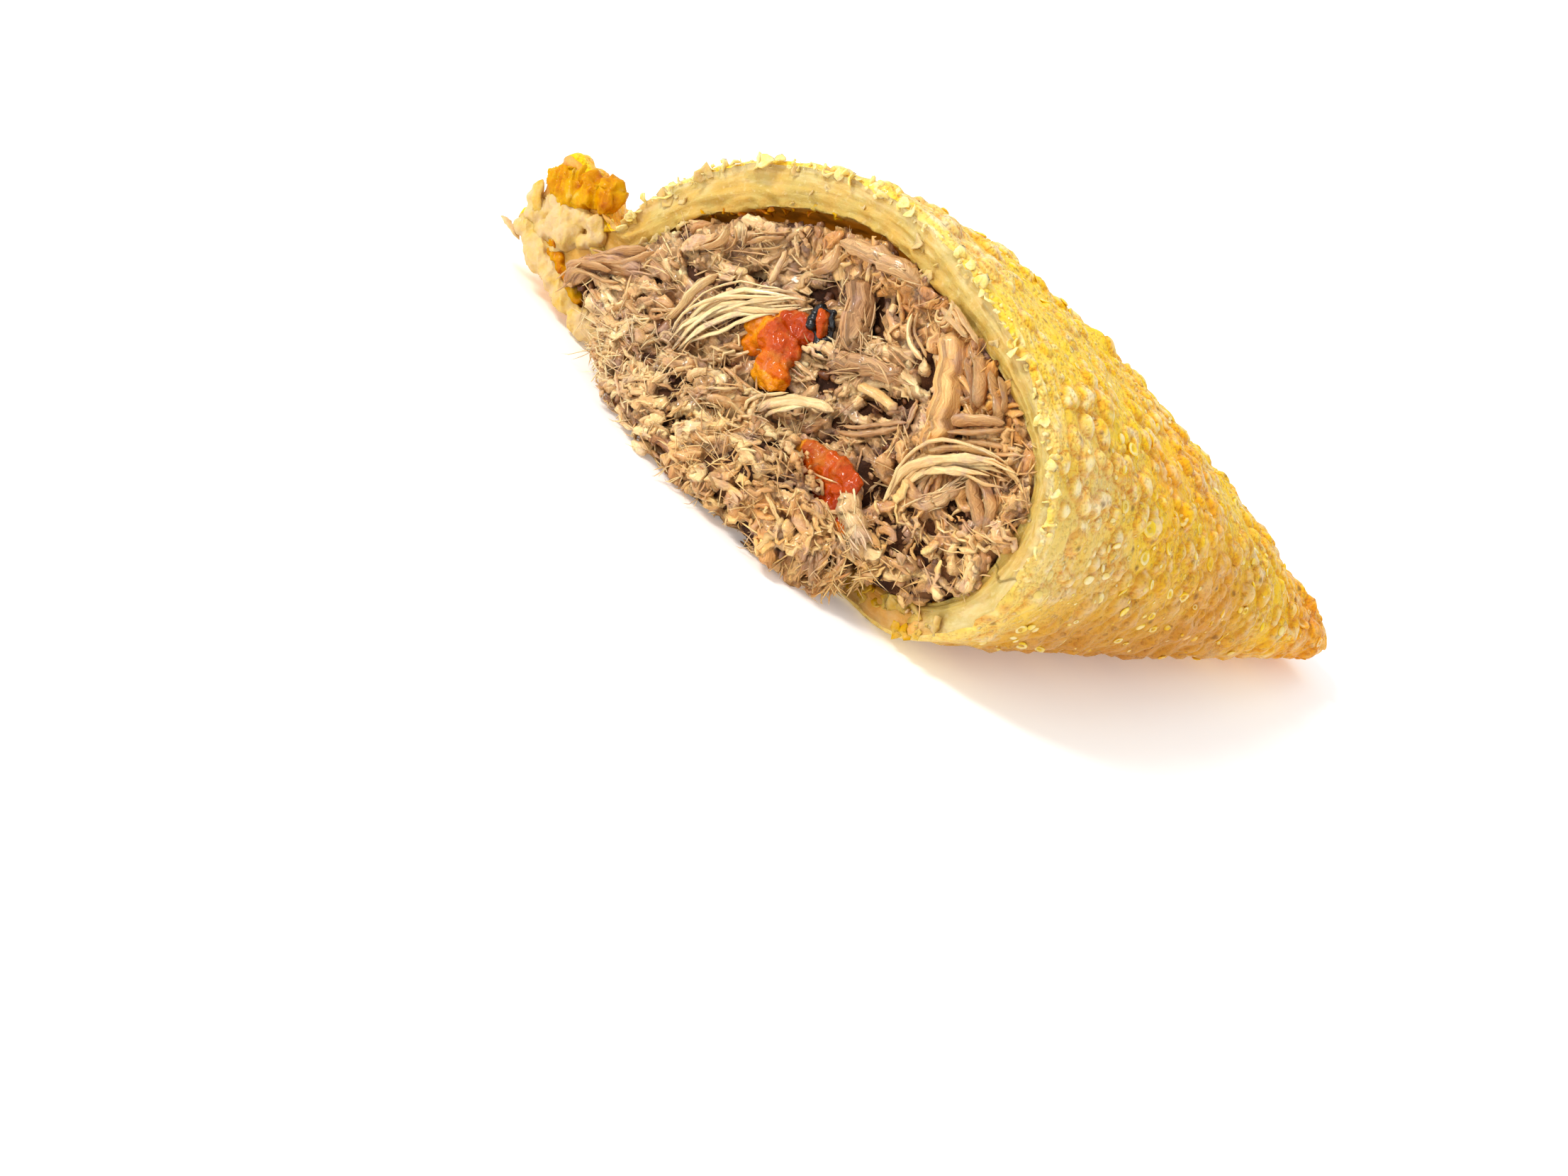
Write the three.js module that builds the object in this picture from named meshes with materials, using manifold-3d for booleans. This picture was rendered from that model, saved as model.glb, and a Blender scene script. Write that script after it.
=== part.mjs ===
// Half of a fried turnover (empanada), cut across the middle and lying on its flat side.
// A thin dough shell is folded over a filling of shredded meat and pressed shut along a rim.
// The cut shows the shell, the filling that spills a little over its lower lip, and pepper pieces.
//
// Working frame, in millimetres: +X runs along the fold from the cut to the corner, +Y from the fold
// to the pressed rim, +Z up from the table. The exported group moves the middle of the box's base
// to the origin and keeps the axes.

import * as THREE from "three";
import { mergeVertices } from "three/addons/utils/BufferGeometryUtils.js";
import Module from "manifold-3d";

// ---- Driving dimensions ----------------------------------------------------------------------

const HALF_LENGTH = 75; // cut to corner, along the fold
const WIDTH = 68; // fold to the rim's outer edge, at the cut
const HEIGHT = 32.5; // table to crown, at the cut
const CLEARANCE = 0.3; // between neighbouring pieces
const MERGE_DISTANCE = 1e-4; // points nearer than this are one

const WALL = 3.6; // dough wall
const CROWN_WALL = 4.2; // dough wall over the crown
const SHOULDER_THINNING = 1.6; // how much thinner it is halfway from the fold up to the crown
const FOLD_HEIGHT = 13; // height of the fold's foremost line, at the cut
const CROWN_PLACE = 0.54; // crown's place between the fold and the seam
const TAPER = 1.45; // how late the dome's height falls towards the corner, 1 being straight
const FOLD_FULLNESS = 2.15; // roundness of the dome on the fold's side, 2 being an ellipse
const SEAM_FULLNESS = 1.6; // the same on the seam's side, where the dough falls to the rim
const BELLY_ROUND = 12; // width of the round between the fold and the flat
const FOLD_SWEEP = 6; // how far the fold bends towards the rim at the corner

const RIM_WIDTH = 10.5; // pressed band beyond the seam
const RIM_REST = 1.2; // height of the rim's underside above the table
const RIM_SLOPE = 14; // rise of the band, in degrees
const SEAM_LIFT = 0.72; // where the flat starts to rise to the band, the seam being at 1
const EDGE_BULGE = 0.05; // how far the band's edge bulges, as a share of its width
const LOWER_LAYER = 2.2; // lower layer of dough in the rim
const UPPER_LAYER = 2.4; // upper layer of dough in the rim
const UPPER_REACH = 0.74; // how much of the band the upper layer covers
const RIM_WAVE = 0.5; // unevenness of the rim's edge
const RIM_WAVES = 7; // waves from the cut to the corner

const KNOT_HEIGHT = 10.2; // the rim's gathered end at the cut, over both layers
const KNOT_CREASE = 9.6; // height of the crease between the knot and the dome
const KNOT_LENGTH = 9; // how far the gather reaches from the cut
const KNOT_REACH = 0.9; // how much of the band it covers

const CORNER_WIDTH = 9; // blunt corner, across
const CORNER_HEIGHT = 5; // blunt corner, up and down
const CORNER_REST = 0.8; // corner's underside above the table
const CORNER_LIFT = 0.55; // where the underside starts to rise to it, the corner being at 1
const CORNER_BAND = 0.35; // pressed band at the corner, as a share of its width
const CORNER_PRESS = 0.7; // thickness of that band, as a share of the corner's height
const CORNER_ROUND = 0.3; // belly's round at the corner, as a share of the round at the cut
const CORNER_PINCH = 1.7; // how late the band narrows towards the corner

const CAVITY_LENGTH = 58; // depth of the filling behind the cut
const CUT_OVERRUN = 2; // how far the cavity's cutter stands out of the cut
const AIR_GAP = 1.6; // between the crown and the filling, at the cut
const AIR_LENGTH = 16; // how far that gap reaches in
const WEDGE = 2; // the hollow ends this far before the seam, and as far past it at the knot

// The filling's face: sunk under the crown, standing out low down, and sunk again by the rim.
const FACE_SUNK = 1.2;
const FACE_STAND = 3;
const FACE_HEIGHTS = [4, 22]; // it stands out fully below the first and is sunk above the second
const FACE_BY_FOLD = [4, 16]; // it comes out between these distances from the fold
const FACE_BY_RIM = [46, 58]; // and goes back between these
const FACE_RIM_SUNK = 2.5;
const FACE_LIP = 0.3; // the face's outer edge stays this far inside the cut
const SPILL = { centre: [-2.4, 31, 3.9], radii: [7.4, 18, 5.8], lowest: 0.4 }; // filling past the lip
const LUMP = 0.9; // height of the filling's lumps
const LUMP_PITCH = 6; // their size

const PEPPERS = {
  pepper_upper: { place: [34.3, 13.9], radii: [2.8, 4.1, 3.6], turn: -35, color: 0xd9481c },
  pepper_lower: { place: [21.0, 8.3], radii: [2.8, 4.2, 3.3], turn: 50, color: 0xc8341c },
  pepper_charred: { place: [31.0, 18.8], radii: [2.0, 1.5, 2.3], turn: -40, color: 0x24262b },
};
const PEPPER_DEPTH = 0.9; // a pepper's middle, behind the filling's face
const PEPPER_GAP = 0.42; // between a pepper and the filling, along its radius
const PEPPER_LUMP = 0.12; // unevenness of a pepper, as a share of its radius

const STATIONS = 26; // sections from the cut to the corner
const DOME_STEPS = 22; // points over the dome
const ROUND_STEPS = 6; // points round the belly's corner
const FLAT_STEPS = 7; // points across the flat
const BAND_STEPS = 3; // points on each side of the rim
const FILLING_STATIONS = 12; // sections through the filling
const FACE_RINGS = 9; // rings across the filling's face
const BALL_STEPS = [18, 12]; // facets round and over a pepper
const SPILL_STEPS = [36, 20]; // facets round and over the spill

// ---- Small helpers -----------------------------------------------------------------------------

const mix = (a, b, t) => a + (b - a) * t;
const radians = THREE.MathUtils.degToRad;
const smooth = (low, high, v) => THREE.MathUtils.smoothstep(v, low, high);
const bell = (v, width) => Math.exp(-((v / width) ** 2));
const range = (count, make) => Array.from({ length: count }, (_, i) => make(i));

// Uneven lumps of about LUMP_PITCH, from -1 to 1.
function lumps(x, y, z) {
  const k = (2 * Math.PI) / LUMP_PITCH;
  const a = Math.sin(k * y + 1.7 * Math.sin(0.6 * k * z + 0.9));
  const b = Math.sin(0.8 * k * z + 1.3 * Math.sin(0.5 * k * y + 0.4 * k * x));
  return 0.6 * a * b + 0.4 * Math.sin(0.55 * k * (y + z) + 2.1);
}

// ---- The crust's section -------------------------------------------------------------------------

// The sizes of the crust's section at a distance x from the cut.
function crustSizes(x) {
  const t = THREE.MathUtils.clamp(x / HALF_LENGTH, 0, 1);
  const swell = Math.sqrt(1 - t * t);
  const low = Math.min(1, swell * CORNER_PINCH);
  const rise = 1 - Math.pow(t, TAPER);
  const gather = bell(x, KNOT_LENGTH);
  const wave = RIM_WAVE * swell * (1 - gather) * Math.sin(RIM_WAVES * 2 * Math.PI * t + 3 * t * t);
  const fold = FOLD_SWEEP * t * t;
  const band = mix(CORNER_WIDTH * CORNER_BAND, RIM_WIDTH, low);
  const pressed = mix(CORNER_HEIGHT * CORNER_PRESS, LOWER_LAYER + UPPER_LAYER, low);
  return {
    fold,
    gather,
    band: band + wave,
    seam: mix(FOLD_SWEEP + CORNER_WIDTH, WIDTH, swell) - band,
    crown: mix(CORNER_HEIGHT + CORNER_REST, HEIGHT, rise),
    foldHeight: mix(CORNER_REST + CORNER_HEIGHT / 2, FOLD_HEIGHT, rise),
    round: BELLY_ROUND * mix(CORNER_ROUND, 1, swell),
    floor: CORNER_REST * smooth(CORNER_LIFT, 1, t),
    slope: Math.tan(radians(RIM_SLOPE * swell)),
    lower: pressed * (LOWER_LAYER / (LOWER_LAYER + UPPER_LAYER)),
    crease: mix(pressed, KNOT_CREASE, gather),
    top: mix(pressed, KNOT_HEIGHT, gather),
    reach: mix(UPPER_REACH, KNOT_REACH, gather),
  };
}

// A superellipse's quarter: from its side, at an angle of 0, to its top.
function quarter(angle, fullness) {
  return [Math.pow(Math.cos(angle), 2 / fullness), Math.pow(Math.sin(angle), 2 / fullness)];
}

// The dome from the fold, over the crown, to the seam.
function domePoints(size) {
  const crownY = mix(size.fold, size.seam, CROWN_PLACE);
  const seamZ = RIM_REST + size.floor + size.crease;
  return range(DOME_STEPS + 1, (i) => {
    const angle = (i / DOME_STEPS) * Math.PI;
    const onFold = angle <= Math.PI / 2;
    const [u, v] = onFold ? quarter(angle, FOLD_FULLNESS) : quarter(Math.PI - angle, SEAM_FULLNESS);
    const [sideY, sideZ] = onFold ? [size.fold, size.foldHeight] : [size.seam, seamZ];
    return [mix(crownY, sideY, u), mix(sideZ, size.crown, v)];
  });
}

// The belly from under the fold to the seam's underside: a round, then the flat it rests on.
function bellyPoints(size) {
  const flatY = size.fold + size.round;
  const round = range(ROUND_STEPS, (i) => {
    const angle = ((i + 1) / (ROUND_STEPS + 1)) * (Math.PI / 2);
    return [flatY - size.round * Math.cos(angle), mix(size.foldHeight, size.floor, Math.sin(angle))];
  });
  const flat = range(FLAT_STEPS + 1, (i) => {
    const s = i / FLAT_STEPS;
    return [mix(flatY, size.seam, s), size.floor + RIM_REST * smooth(SEAM_LIFT, 1, s)];
  });
  return [...round, ...flat];
}

// The pressed band: the underside outwards, round the lower layer's edge, up the upper layer's
// edge, and back along the top to the crease.
function bandPoints(size) {
  const at = (u, v) => [size.seam + size.band * u, RIM_REST + size.floor + size.slope * size.band * u + v];
  const under = range(BAND_STEPS, (i) => at((i + 1) / BAND_STEPS, 0));
  const edge = [at(1 + EDGE_BULGE, size.lower / 2), at(1, size.lower)];
  const low = size.lower * (1 + EDGE_BULGE);
  const step = [at(size.reach * (1 + EDGE_BULGE / 2), low), at(size.reach, mix(low, size.top, 0.8))];
  const back = range(BAND_STEPS, (i) => {
    const s = 1 - (i + 0.6) / BAND_STEPS;
    return at(size.reach * s, mix(size.crease, size.top, Math.sqrt(s)));
  });
  return [...under, ...edge, ...step, ...back];
}

// ---- The hollow and the filling's section ----------------------------------------------------------

// The hollow in the shell, shrunk by inset all round and by gap under the crown.
function hollowPoints(size, inset, gap) {
  const wall = WALL + inset;
  const dome = domePoints(size);
  const inner = dome.map(([y, z], i) => {
    const [y0, z0] = dome[Math.max(i - 1, 0)];
    const [y1, z1] = dome[Math.min(i + 1, DOME_STEPS)];
    const length = Math.hypot(y1 - y0, z1 - z0);
    const over = (y1 - y0) / length;
    const rise = (z1 - z0) / length;
    const shoulder = SHOULDER_THINNING * Math.max(2 * over * rise, 0) ** 2;
    const depth = wall + (CROWN_WALL - WALL + gap) * Math.max(over, 0) ** 2 - shoulder;
    return [y + depth * rise, z - depth * over];
  });
  const flatY = size.fold + size.round;
  const floor = size.floor + wall;
  const corner = range(ROUND_STEPS, (i) => {
    const angle = ((i + 1) / ROUND_STEPS) * (Math.PI / 2);
    return [flatY - (size.round - wall) * Math.cos(angle), mix(size.foldHeight, floor, Math.sin(angle))];
  });
  const wedgeY = size.seam + WEDGE * mix(-1, 1, size.gather) - 2 * inset;
  const flat = range(FLAT_STEPS, (i) => [mix(flatY, wedgeY, (i + 1) / FLAT_STEPS), floor]);
  return [...corner, ...flat, ...inner.reverse()];
}

// How far the filling's face stands out of the cut: sunk under the crown and by the rim, out below.
function faceStand(y, z) {
  const low = 1 - smooth(...FACE_HEIGHTS, z);
  const out = mix(0.2, 1, smooth(...FACE_BY_FOLD, y));
  const byRim = smooth(...FACE_BY_RIM, y);
  return mix(-FACE_SUNK, FACE_STAND, low) * out - FACE_RIM_SUNK * byRim + LUMP * lumps(0, y, z);
}

// ---- Solids ----------------------------------------------------------------------------------------

const wasm = await Module();
wasm.setup();

// A three.js geometry as a closed solid.
function solidFrom(geometry) {
  const bare = geometry.clone();
  bare.deleteAttribute("normal");
  bare.deleteAttribute("uv");
  const merged = mergeVertices(bare, MERGE_DISTANCE);
  const vertProperties = new Float32Array(merged.attributes.position.array);
  const triVerts = new Uint32Array(merged.index.array);
  return new wasm.Manifold(new wasm.Mesh({ numProp: 3, vertProperties, triVerts }));
}

// A solid as a three.js geometry.
function geometryFrom(solid) {
  const { numProp, vertProperties, triVerts } = solid.getMesh();
  const corners = Array.from(triVerts, (v) => vertProperties.slice(v * numProp, v * numProp + 3));
  const geometry = new THREE.BufferGeometry();
  geometry.setAttribute("position", new THREE.Float32BufferAttribute(corners.flatMap((c) => [...c]), 3));
  geometry.computeVertexNormals();
  return geometry;
}

const ringAt = (x, points) => points.map(([y, z]) => new THREE.Vector3(x, y, z));
const middleOf = (ring) => ring.reduce((sum, p) => sum.add(p), new THREE.Vector3()).divideScalar(ring.length);

// A closed geometry through rings of points, with a fan at each end.
function loft(rings) {
  const count = rings[0].length;
  const ends = [middleOf(rings[0]), middleOf(rings[rings.length - 1])];
  const positions = [ends[0], ...rings.flat(), ends[1]].flatMap((p) => [p.x, p.y, p.z]);
  const at = (r, i) => 1 + r * count + (i % count);
  const end = 1 + rings.length * count;
  const index = [];
  for (let i = 0; i < count; i++) {
    index.push(0, at(0, i + 1), at(0, i));
    index.push(end, at(rings.length - 1, i), at(rings.length - 1, i + 1));
    for (let r = 0; r < rings.length - 1; r++) {
      index.push(at(r, i), at(r, i + 1), at(r + 1, i));
      index.push(at(r, i + 1), at(r + 1, i + 1), at(r + 1, i));
    }
  }
  const geometry = new THREE.BufferGeometry();
  geometry.setAttribute("position", new THREE.Float32BufferAttribute(positions, 3));
  geometry.setIndex(index);
  return geometry;
}

// The crust's outside, closed across the cut. Sections stand closer together towards the corner.
function crustOutside() {
  const rings = range(STATIONS + 1, (i) => {
    const x = HALF_LENGTH * Math.sin((i / STATIONS) * (Math.PI / 2));
    const size = crustSizes(x);
    return ringAt(x, [...bellyPoints(size), ...bandPoints(size), ...domePoints(size).reverse()]);
  });
  return solidFrom(loft(rings));
}

const hollowStations = () => range(FILLING_STATIONS + 1, (i) => (CAVITY_LENGTH * i) / FILLING_STATIONS);

function hollow() {
  const rings = hollowStations().map((x) => ringAt(x, hollowPoints(crustSizes(x), 0, 0)));
  return solidFrom(loft([ringAt(-CUT_OVERRUN, hollowPoints(crustSizes(0), 0, 0)), ...rings]));
}

// The filling inside the shell, with an uneven face.
function fillingCore() {
  const sections = hollowStations().map((x) => {
    return ringAt(x, hollowPoints(crustSizes(x), CLEARANCE, AIR_GAP * bell(x, AIR_LENGTH)));
  });
  const middle = middleOf(sections[0]);
  const face = range(FACE_RINGS, (i) =>
    sections[0].map((p) => {
      const q = middle.clone().lerp(p, (i + 1) / (FACE_RINGS + 1));
      return q.setX(-faceStand(q.y, q.z));
    }),
  );
  sections[sections.length - 1].forEach((p) => p.setX(CAVITY_LENGTH - CLEARANCE));
  sections[0].forEach((p) => p.setX(Math.max(0, FACE_LIP - faceStand(p.y, p.z))));
  return solidFrom(loft([...face, ...sections]));
}

// A lumpy ball about its own middle. grow adds to its radius all round.
function ball(radii, steps, unevenness, grow) {
  const geometry = new THREE.SphereGeometry(1, ...steps);
  const position = geometry.attributes.position;
  for (let i = 0; i < position.count; i++) {
    const p = new THREE.Vector3().fromBufferAttribute(position, i);
    const lump = 1 + unevenness * Math.sin(4 * p.y + 2 * p.x + 1) * Math.cos(3 * p.z - p.y);
    const q = p.clone().multiply(new THREE.Vector3(...radii)).multiplyScalar(lump);
    q.addScaledVector(q.clone().normalize(), grow);
    position.setXYZ(i, q.x, q.y, q.z);
  }
  return geometry;
}

// The filling that has slumped out over the lower lip.
function spill() {
  const geometry = ball(SPILL.radii, SPILL_STEPS, 0, 0);
  geometry.translate(...SPILL.centre);
  const position = geometry.attributes.position;
  for (let i = 0; i < position.count; i++) {
    const [x, y, z] = [position.getX(i), position.getY(i), position.getZ(i)];
    const lump = LUMP * lumps(x, y, z);
    position.setXYZ(i, x - lump, y, Math.max(SPILL.lowest, z + 0.5 * lump));
  }
  return solidFrom(geometry);
}

// A pepper piece, set into the filling's face.
function pepper({ place, radii, turn }, grow) {
  const [y, z] = place;
  return ball(radii, BALL_STEPS, PEPPER_LUMP, grow)
    .rotateX(radians(turn))
    .translate(PEPPER_DEPTH - faceStand(y, z), y, z);
}

// ---- Assembly ----------------------------------------------------------------------------------------

function piece(name, geometry, color, roughness) {
  const mesh = new THREE.Mesh(geometry, new THREE.MeshStandardMaterial({ color, roughness, metalness: 0 }));
  mesh.name = name;
  return mesh;
}

const outside = crustOutside();
const crust = outside.subtract(hollow());
const past = spill().subtract(outside.translate([-CLEARANCE, 0, 0]));
const kinds = Object.entries(PEPPERS);
const filling = kinds.reduce(
  (solid, [, kind]) => solid.subtract(solidFrom(pepper(kind, PEPPER_GAP))),
  fillingCore().add(past),
);

const half = new THREE.Group();
half.add(piece("crust", geometryFrom(crust), 0xd9a43a, 0.5));
half.add(piece("filling", geometryFrom(filling), 0xa8835a, 0.6));
kinds.forEach(([name, kind]) => half.add(piece(name, pepper(kind, 0), kind.color, 0.25)));

const box = new THREE.Box3().setFromObject(half);
const centre = box.getCenter(new THREE.Vector3());
half.position.set(-centre.x, -centre.y, -box.min.z);

const group = new THREE.Group();
group.add(half);

export default group;
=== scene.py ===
"""Looks of half a fried turnover, cut across the middle and lying on its flat side.

The dough shell with its pressed rim, torn rim end and blisters, the shredded meat at the cut, and
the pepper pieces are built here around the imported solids, in metres. Sizes in the classes are in
millimetres, from a zero at the cut, at the fold's side and on the table, as the solids have it.
"""

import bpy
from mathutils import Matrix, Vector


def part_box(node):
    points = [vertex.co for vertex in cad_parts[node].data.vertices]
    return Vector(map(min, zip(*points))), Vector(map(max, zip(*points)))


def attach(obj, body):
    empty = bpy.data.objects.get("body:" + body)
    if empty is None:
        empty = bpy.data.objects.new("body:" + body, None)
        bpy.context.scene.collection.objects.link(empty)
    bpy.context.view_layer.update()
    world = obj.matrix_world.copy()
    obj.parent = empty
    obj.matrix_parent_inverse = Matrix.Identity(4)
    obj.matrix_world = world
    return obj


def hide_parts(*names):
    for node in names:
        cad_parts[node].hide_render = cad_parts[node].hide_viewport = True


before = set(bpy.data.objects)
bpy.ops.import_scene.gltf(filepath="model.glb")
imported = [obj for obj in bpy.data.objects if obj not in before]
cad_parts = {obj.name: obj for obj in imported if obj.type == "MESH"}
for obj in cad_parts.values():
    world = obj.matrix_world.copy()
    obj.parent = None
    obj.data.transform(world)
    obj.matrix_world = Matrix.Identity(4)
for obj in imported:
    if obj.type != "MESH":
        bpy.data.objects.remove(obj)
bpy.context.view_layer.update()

import logging
import math
from dataclasses import dataclass, field
from enum import Enum
from typing import Any, Sequence

import bpy
import numpy as np
from mathutils import Matrix, Quaternion, Vector
from mathutils.bvhtree import BVHTree
from mathutils.kdtree import KDTree

LOG = logging.getLogger("turnover")
MM = 0.001
ZERO = np.array(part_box("crust")[0])
Array = np.ndarray
Piece = bpy.types.Object
Material = bpy.types.Material
Spot = tuple[float, float, float]
Pair = tuple[float, float]
Ball = tuple[float, float, float, float]
Colour = tuple[float, float, float, float]


# ---- Small helpers ---------------------------------------------------------------------------


def mix(a: Any, b: Any, t: Any) -> Any:
    """Blends a into b as t goes from 0 to 1."""
    return a + (b - a) * t


def smooth(low: float, high: float, value: Any) -> Any:
    """Rises smoothly from 0 at low to 1 at high."""
    t = np.clip((np.asarray(value, float) - low) / (high - low), 0.0, 1.0)
    return t * t * (3 - 2 * t)


def bell(value: Any, width: float) -> Any:
    """A bump of height 1 at 0 that has mostly gone at width."""
    return np.exp(-((np.asarray(value, float) / width) ** 2))


def unit(vectors: Array) -> Array:
    """Scales each vector to a length of 1."""
    length = np.linalg.norm(vectors, axis=-1, keepdims=True)
    return vectors / np.maximum(length, 1e-12)


def linear(red: float, green: float, blue: float) -> Colour:
    """Turns a colour of 0 to 255 as seen on a screen into the renderer's linear colour.

    Args:
        red, green, blue: the colour on a screen.

    Returns:
        The linear colour with a full alpha.
    """
    parts = [c / 255 for c in (red, green, blue)]
    low, knee, offset, power = 12.92, 0.04045, 0.055, 2.4
    parts = [c / low if c <= knee else ((c + offset) / (1 + offset)) ** power for c in parts]
    return (parts[0], parts[1], parts[2], 1.0)


def curved(line: Array, steps: int = 6) -> Array:
    """Rounds a line through its points.

    Args:
        line: the line's points, one a row.
        steps: how many points to make for each of its parts.

    Returns:
        The new points, through the old ones.
    """
    p = np.vstack([2 * line[0] - line[1], line, 2 * line[-1] - line[-2]])
    t = np.linspace(0, 1, steps, endpoint=False)[:, None]
    parts = []
    for a, b, c, d in zip(p, p[1:], p[2:], p[3:]):
        parts.append(0.5 * (2 * b + (c - a) * t + (2 * a - 5 * b + 4 * c - d) * t**2
                            + (3 * b - a - 3 * c + d) * t**3))
    return np.vstack([*parts, line[-1:]])


def resample(line: Array, count: int, closed_end: bool = False) -> Array:
    """Spreads points evenly along a line.

    Args:
        line: the line's points, one a row.
        count: how many points to make.
        closed_end: whether the line's last point is one of them.

    Returns:
        The new points, starting at the line's first.
    """
    steps = np.linalg.norm(np.diff(line, axis=0), axis=1)
    run = np.concatenate([[0.0], np.cumsum(steps)])
    wanted = np.linspace(0.0, run[-1], count, endpoint=closed_end)
    return np.stack([np.interp(wanted, run, line[:, k]) for k in range(line.shape[1])], axis=1)


def straightened(path: Array, share: float) -> Array:
    """Draws a path towards the straight line between its ends.

    Args:
        path: its points, one a row.
        share: how far, from 0 to 1.

    Returns:
        The new points.
    """
    return mix(path, np.linspace(path[0], path[-1], len(path)), share)


class Unevenness:
    """Smooth random heights over space, the same in each run."""

    SIZE = 32

    def __init__(self, seed: int) -> None:
        """Draws the table of heights.

        Args:
            seed: the number that the heights come from.
        """
        side = (self.SIZE,) * 3
        self.table = np.random.default_rng(seed).uniform(-1.0, 1.0, side)

    def single(self, points: Array, pitch: float) -> Array:
        """Heights of one pitch.

        Args:
            points: places, one a row, in millimetres.
            pitch: the size of a bump.

        Returns:
            A height from -1 to 1 for each place.
        """
        q = np.asarray(points, float) / pitch
        base = np.floor(q).astype(int)
        f = q - base
        w = f * f * (3 - 2 * f)
        total = np.zeros(q.shape[:-1])
        for dx in (0, 1):
            for dy in (0, 1):
                for dz in (0, 1):
                    corner = (base + (dx, dy, dz)) % self.SIZE
                    share = np.ones(q.shape[:-1])
                    for k, step in enumerate((dx, dy, dz)):
                        share = share * (w[..., k] if step else 1 - w[..., k])
                    total += share * self.table[corner[..., 0], corner[..., 1], corner[..., 2]]
        return total

    def __call__(self, points: Array, pitch: float, octaves: int = 1) -> Array:
        """Heights with finer ones on top.

        Args:
            points: places, one a row, in millimetres.
            pitch: the size of the largest bumps.
            octaves: how many sizes, each half the one before.

        Returns:
            A height for each place, mostly from -1 to 1.
        """
        shift = np.array([7.3, 3.1, 5.7])
        parts = [self.single(points + shift * k, pitch / 2**k) / 2**k for k in range(octaves)]
        return np.sum(parts, axis=0)

    def ridges(self, points: Array, pitch: float) -> Array:
        """Sharp ridges with round valleys.

        Args:
            points: places, one a row, in millimetres.
            pitch: how far apart the ridges are.

        Returns:
            A height from 0 to 1 for each place.
        """
        return (1 - np.abs(self.single(points, pitch))) ** 3


# ---- Meshes -----------------------------------------------------------------------------------


def linked(name: str, data: Any) -> Piece:
    """Puts a mesh, a light or a camera into the scene.

    Args:
        name: the object's name.
        data: what it holds.

    Returns:
        The object.
    """
    made = bpy.data.objects.new(name, data)
    bpy.context.scene.collection.objects.link(made)
    return made


def piece(name: str, points: Array, faces: Any, attributes: dict[str, Array] | None = None,
          material: Material | None = None) -> Piece:
    """Makes a smooth-shaded object from points in the section's millimetres.

    Args:
        name: the piece's name.
        points: its points, one a row.
        faces: its faces, as rows of point numbers.
        attributes: numbers to keep at each point, by name.
        material: its finish.

    Returns:
        The object, at the origin, with its place in its mesh.
    """
    mesh = bpy.data.meshes.new(name)
    faces = [tuple(int(i) for i in f) for f in faces]
    mesh.from_pydata((np.asarray(points) * MM + ZERO).tolist(), [], faces)
    for key, values in (attributes or {}).items():
        store(mesh, key, values)
    mesh.shade_smooth()
    if material:
        mesh.materials.append(material)
    mesh.validate()
    return linked(name, mesh)


def store(mesh: bpy.types.Mesh, name: str, values: Array) -> None:
    """Keeps a number for each point of a mesh, for its finish to read.

    Args:
        mesh: the mesh.
        name: the attribute's name.
        values: a number for each point.
    """
    made = mesh.attributes.new(name, "FLOAT", "POINT")
    made.data.foreach_set("value", np.asarray(values, np.float32).ravel())


def grid_faces(rows: int, columns: int, around: bool = True, start: int = 0) -> Array:
    """Faces of a grid of points kept row by row.

    Args:
        rows: how many rows.
        columns: how many points in each.
        around: whether each row closes on itself.
        start: the number of the grid's first point.

    Returns:
        The faces, four point numbers a row.
    """
    wide = columns if around else columns - 1
    r, c = np.meshgrid(np.arange(rows - 1), np.arange(wide), indexing="ij")
    r, c = r.ravel(), c.ravel()
    d = (c + 1) % columns
    quads = np.stack([r * columns + c, (r + 1) * columns + c, (r + 1) * columns + d, r * columns + d], 1)
    return quads + start


def facing_out(points: Array, faces: Sequence[Sequence[int]]) -> list[tuple[int, ...]]:
    """Turns a closed body's faces outward.

    Args:
        points: the body's points.
        faces: its faces, all turned the same way.

    Returns:
        The faces, each turned round if the body was inside out.
    """
    p = np.asarray(points)
    corners = [tuple(f[:3]) for f in faces] + [(f[0], f[2], f[3]) for f in faces if len(f) == 4]
    a, b, c = (p[list(k)] for k in zip(*corners))
    inside_out = float(np.sum(a * np.cross(b, c))) < 0
    return [tuple(int(i) for i in (reversed(f) if inside_out else f)) for f in faces]


def turned(points: Array, faces: list[list[int]], number: int, way: Sequence[float]) -> list[list[int]]:
    """Turns an open surface's faces round unless they face the right way.

    Args:
        points: the surface's points.
        faces: its faces, all turned the same way.
        number: which face is looked at.
        way: the way that it has to face.

    Returns:
        The faces.
    """
    a, b, c = (points[i] for i in faces[number][:3])
    if float(np.dot(np.cross(b - a, c - a), way)) < 0:
        return [list(reversed(f)) for f in faces]
    return faces


def ringed_body(rings: Sequence[Array], first: Any, last: Any) -> tuple[Array, list[tuple[int, ...]]]:
    """A closed body from rings of points, drawn together to one point at each end.

    Args:
        rings: the rings, each with the same number of points.
        first, last: the points at the ends.

    Returns:
        Its points, the two ends last, and its faces, turned outward.
    """
    columns = len(rings[0])
    points = np.concatenate([*rings, [first, last]])
    top = len(points) - 2
    end = top - columns
    faces = grid_faces(len(rings), columns).tolist()
    faces += [[top, c, (c + 1) % columns] for c in range(columns)]
    faces += [[top + 1, end + (c + 1) % columns, end + c] for c in range(columns)]
    return points, facing_out(points, faces)


# ---- Node trees ---------------------------------------------------------------------------------


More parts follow.
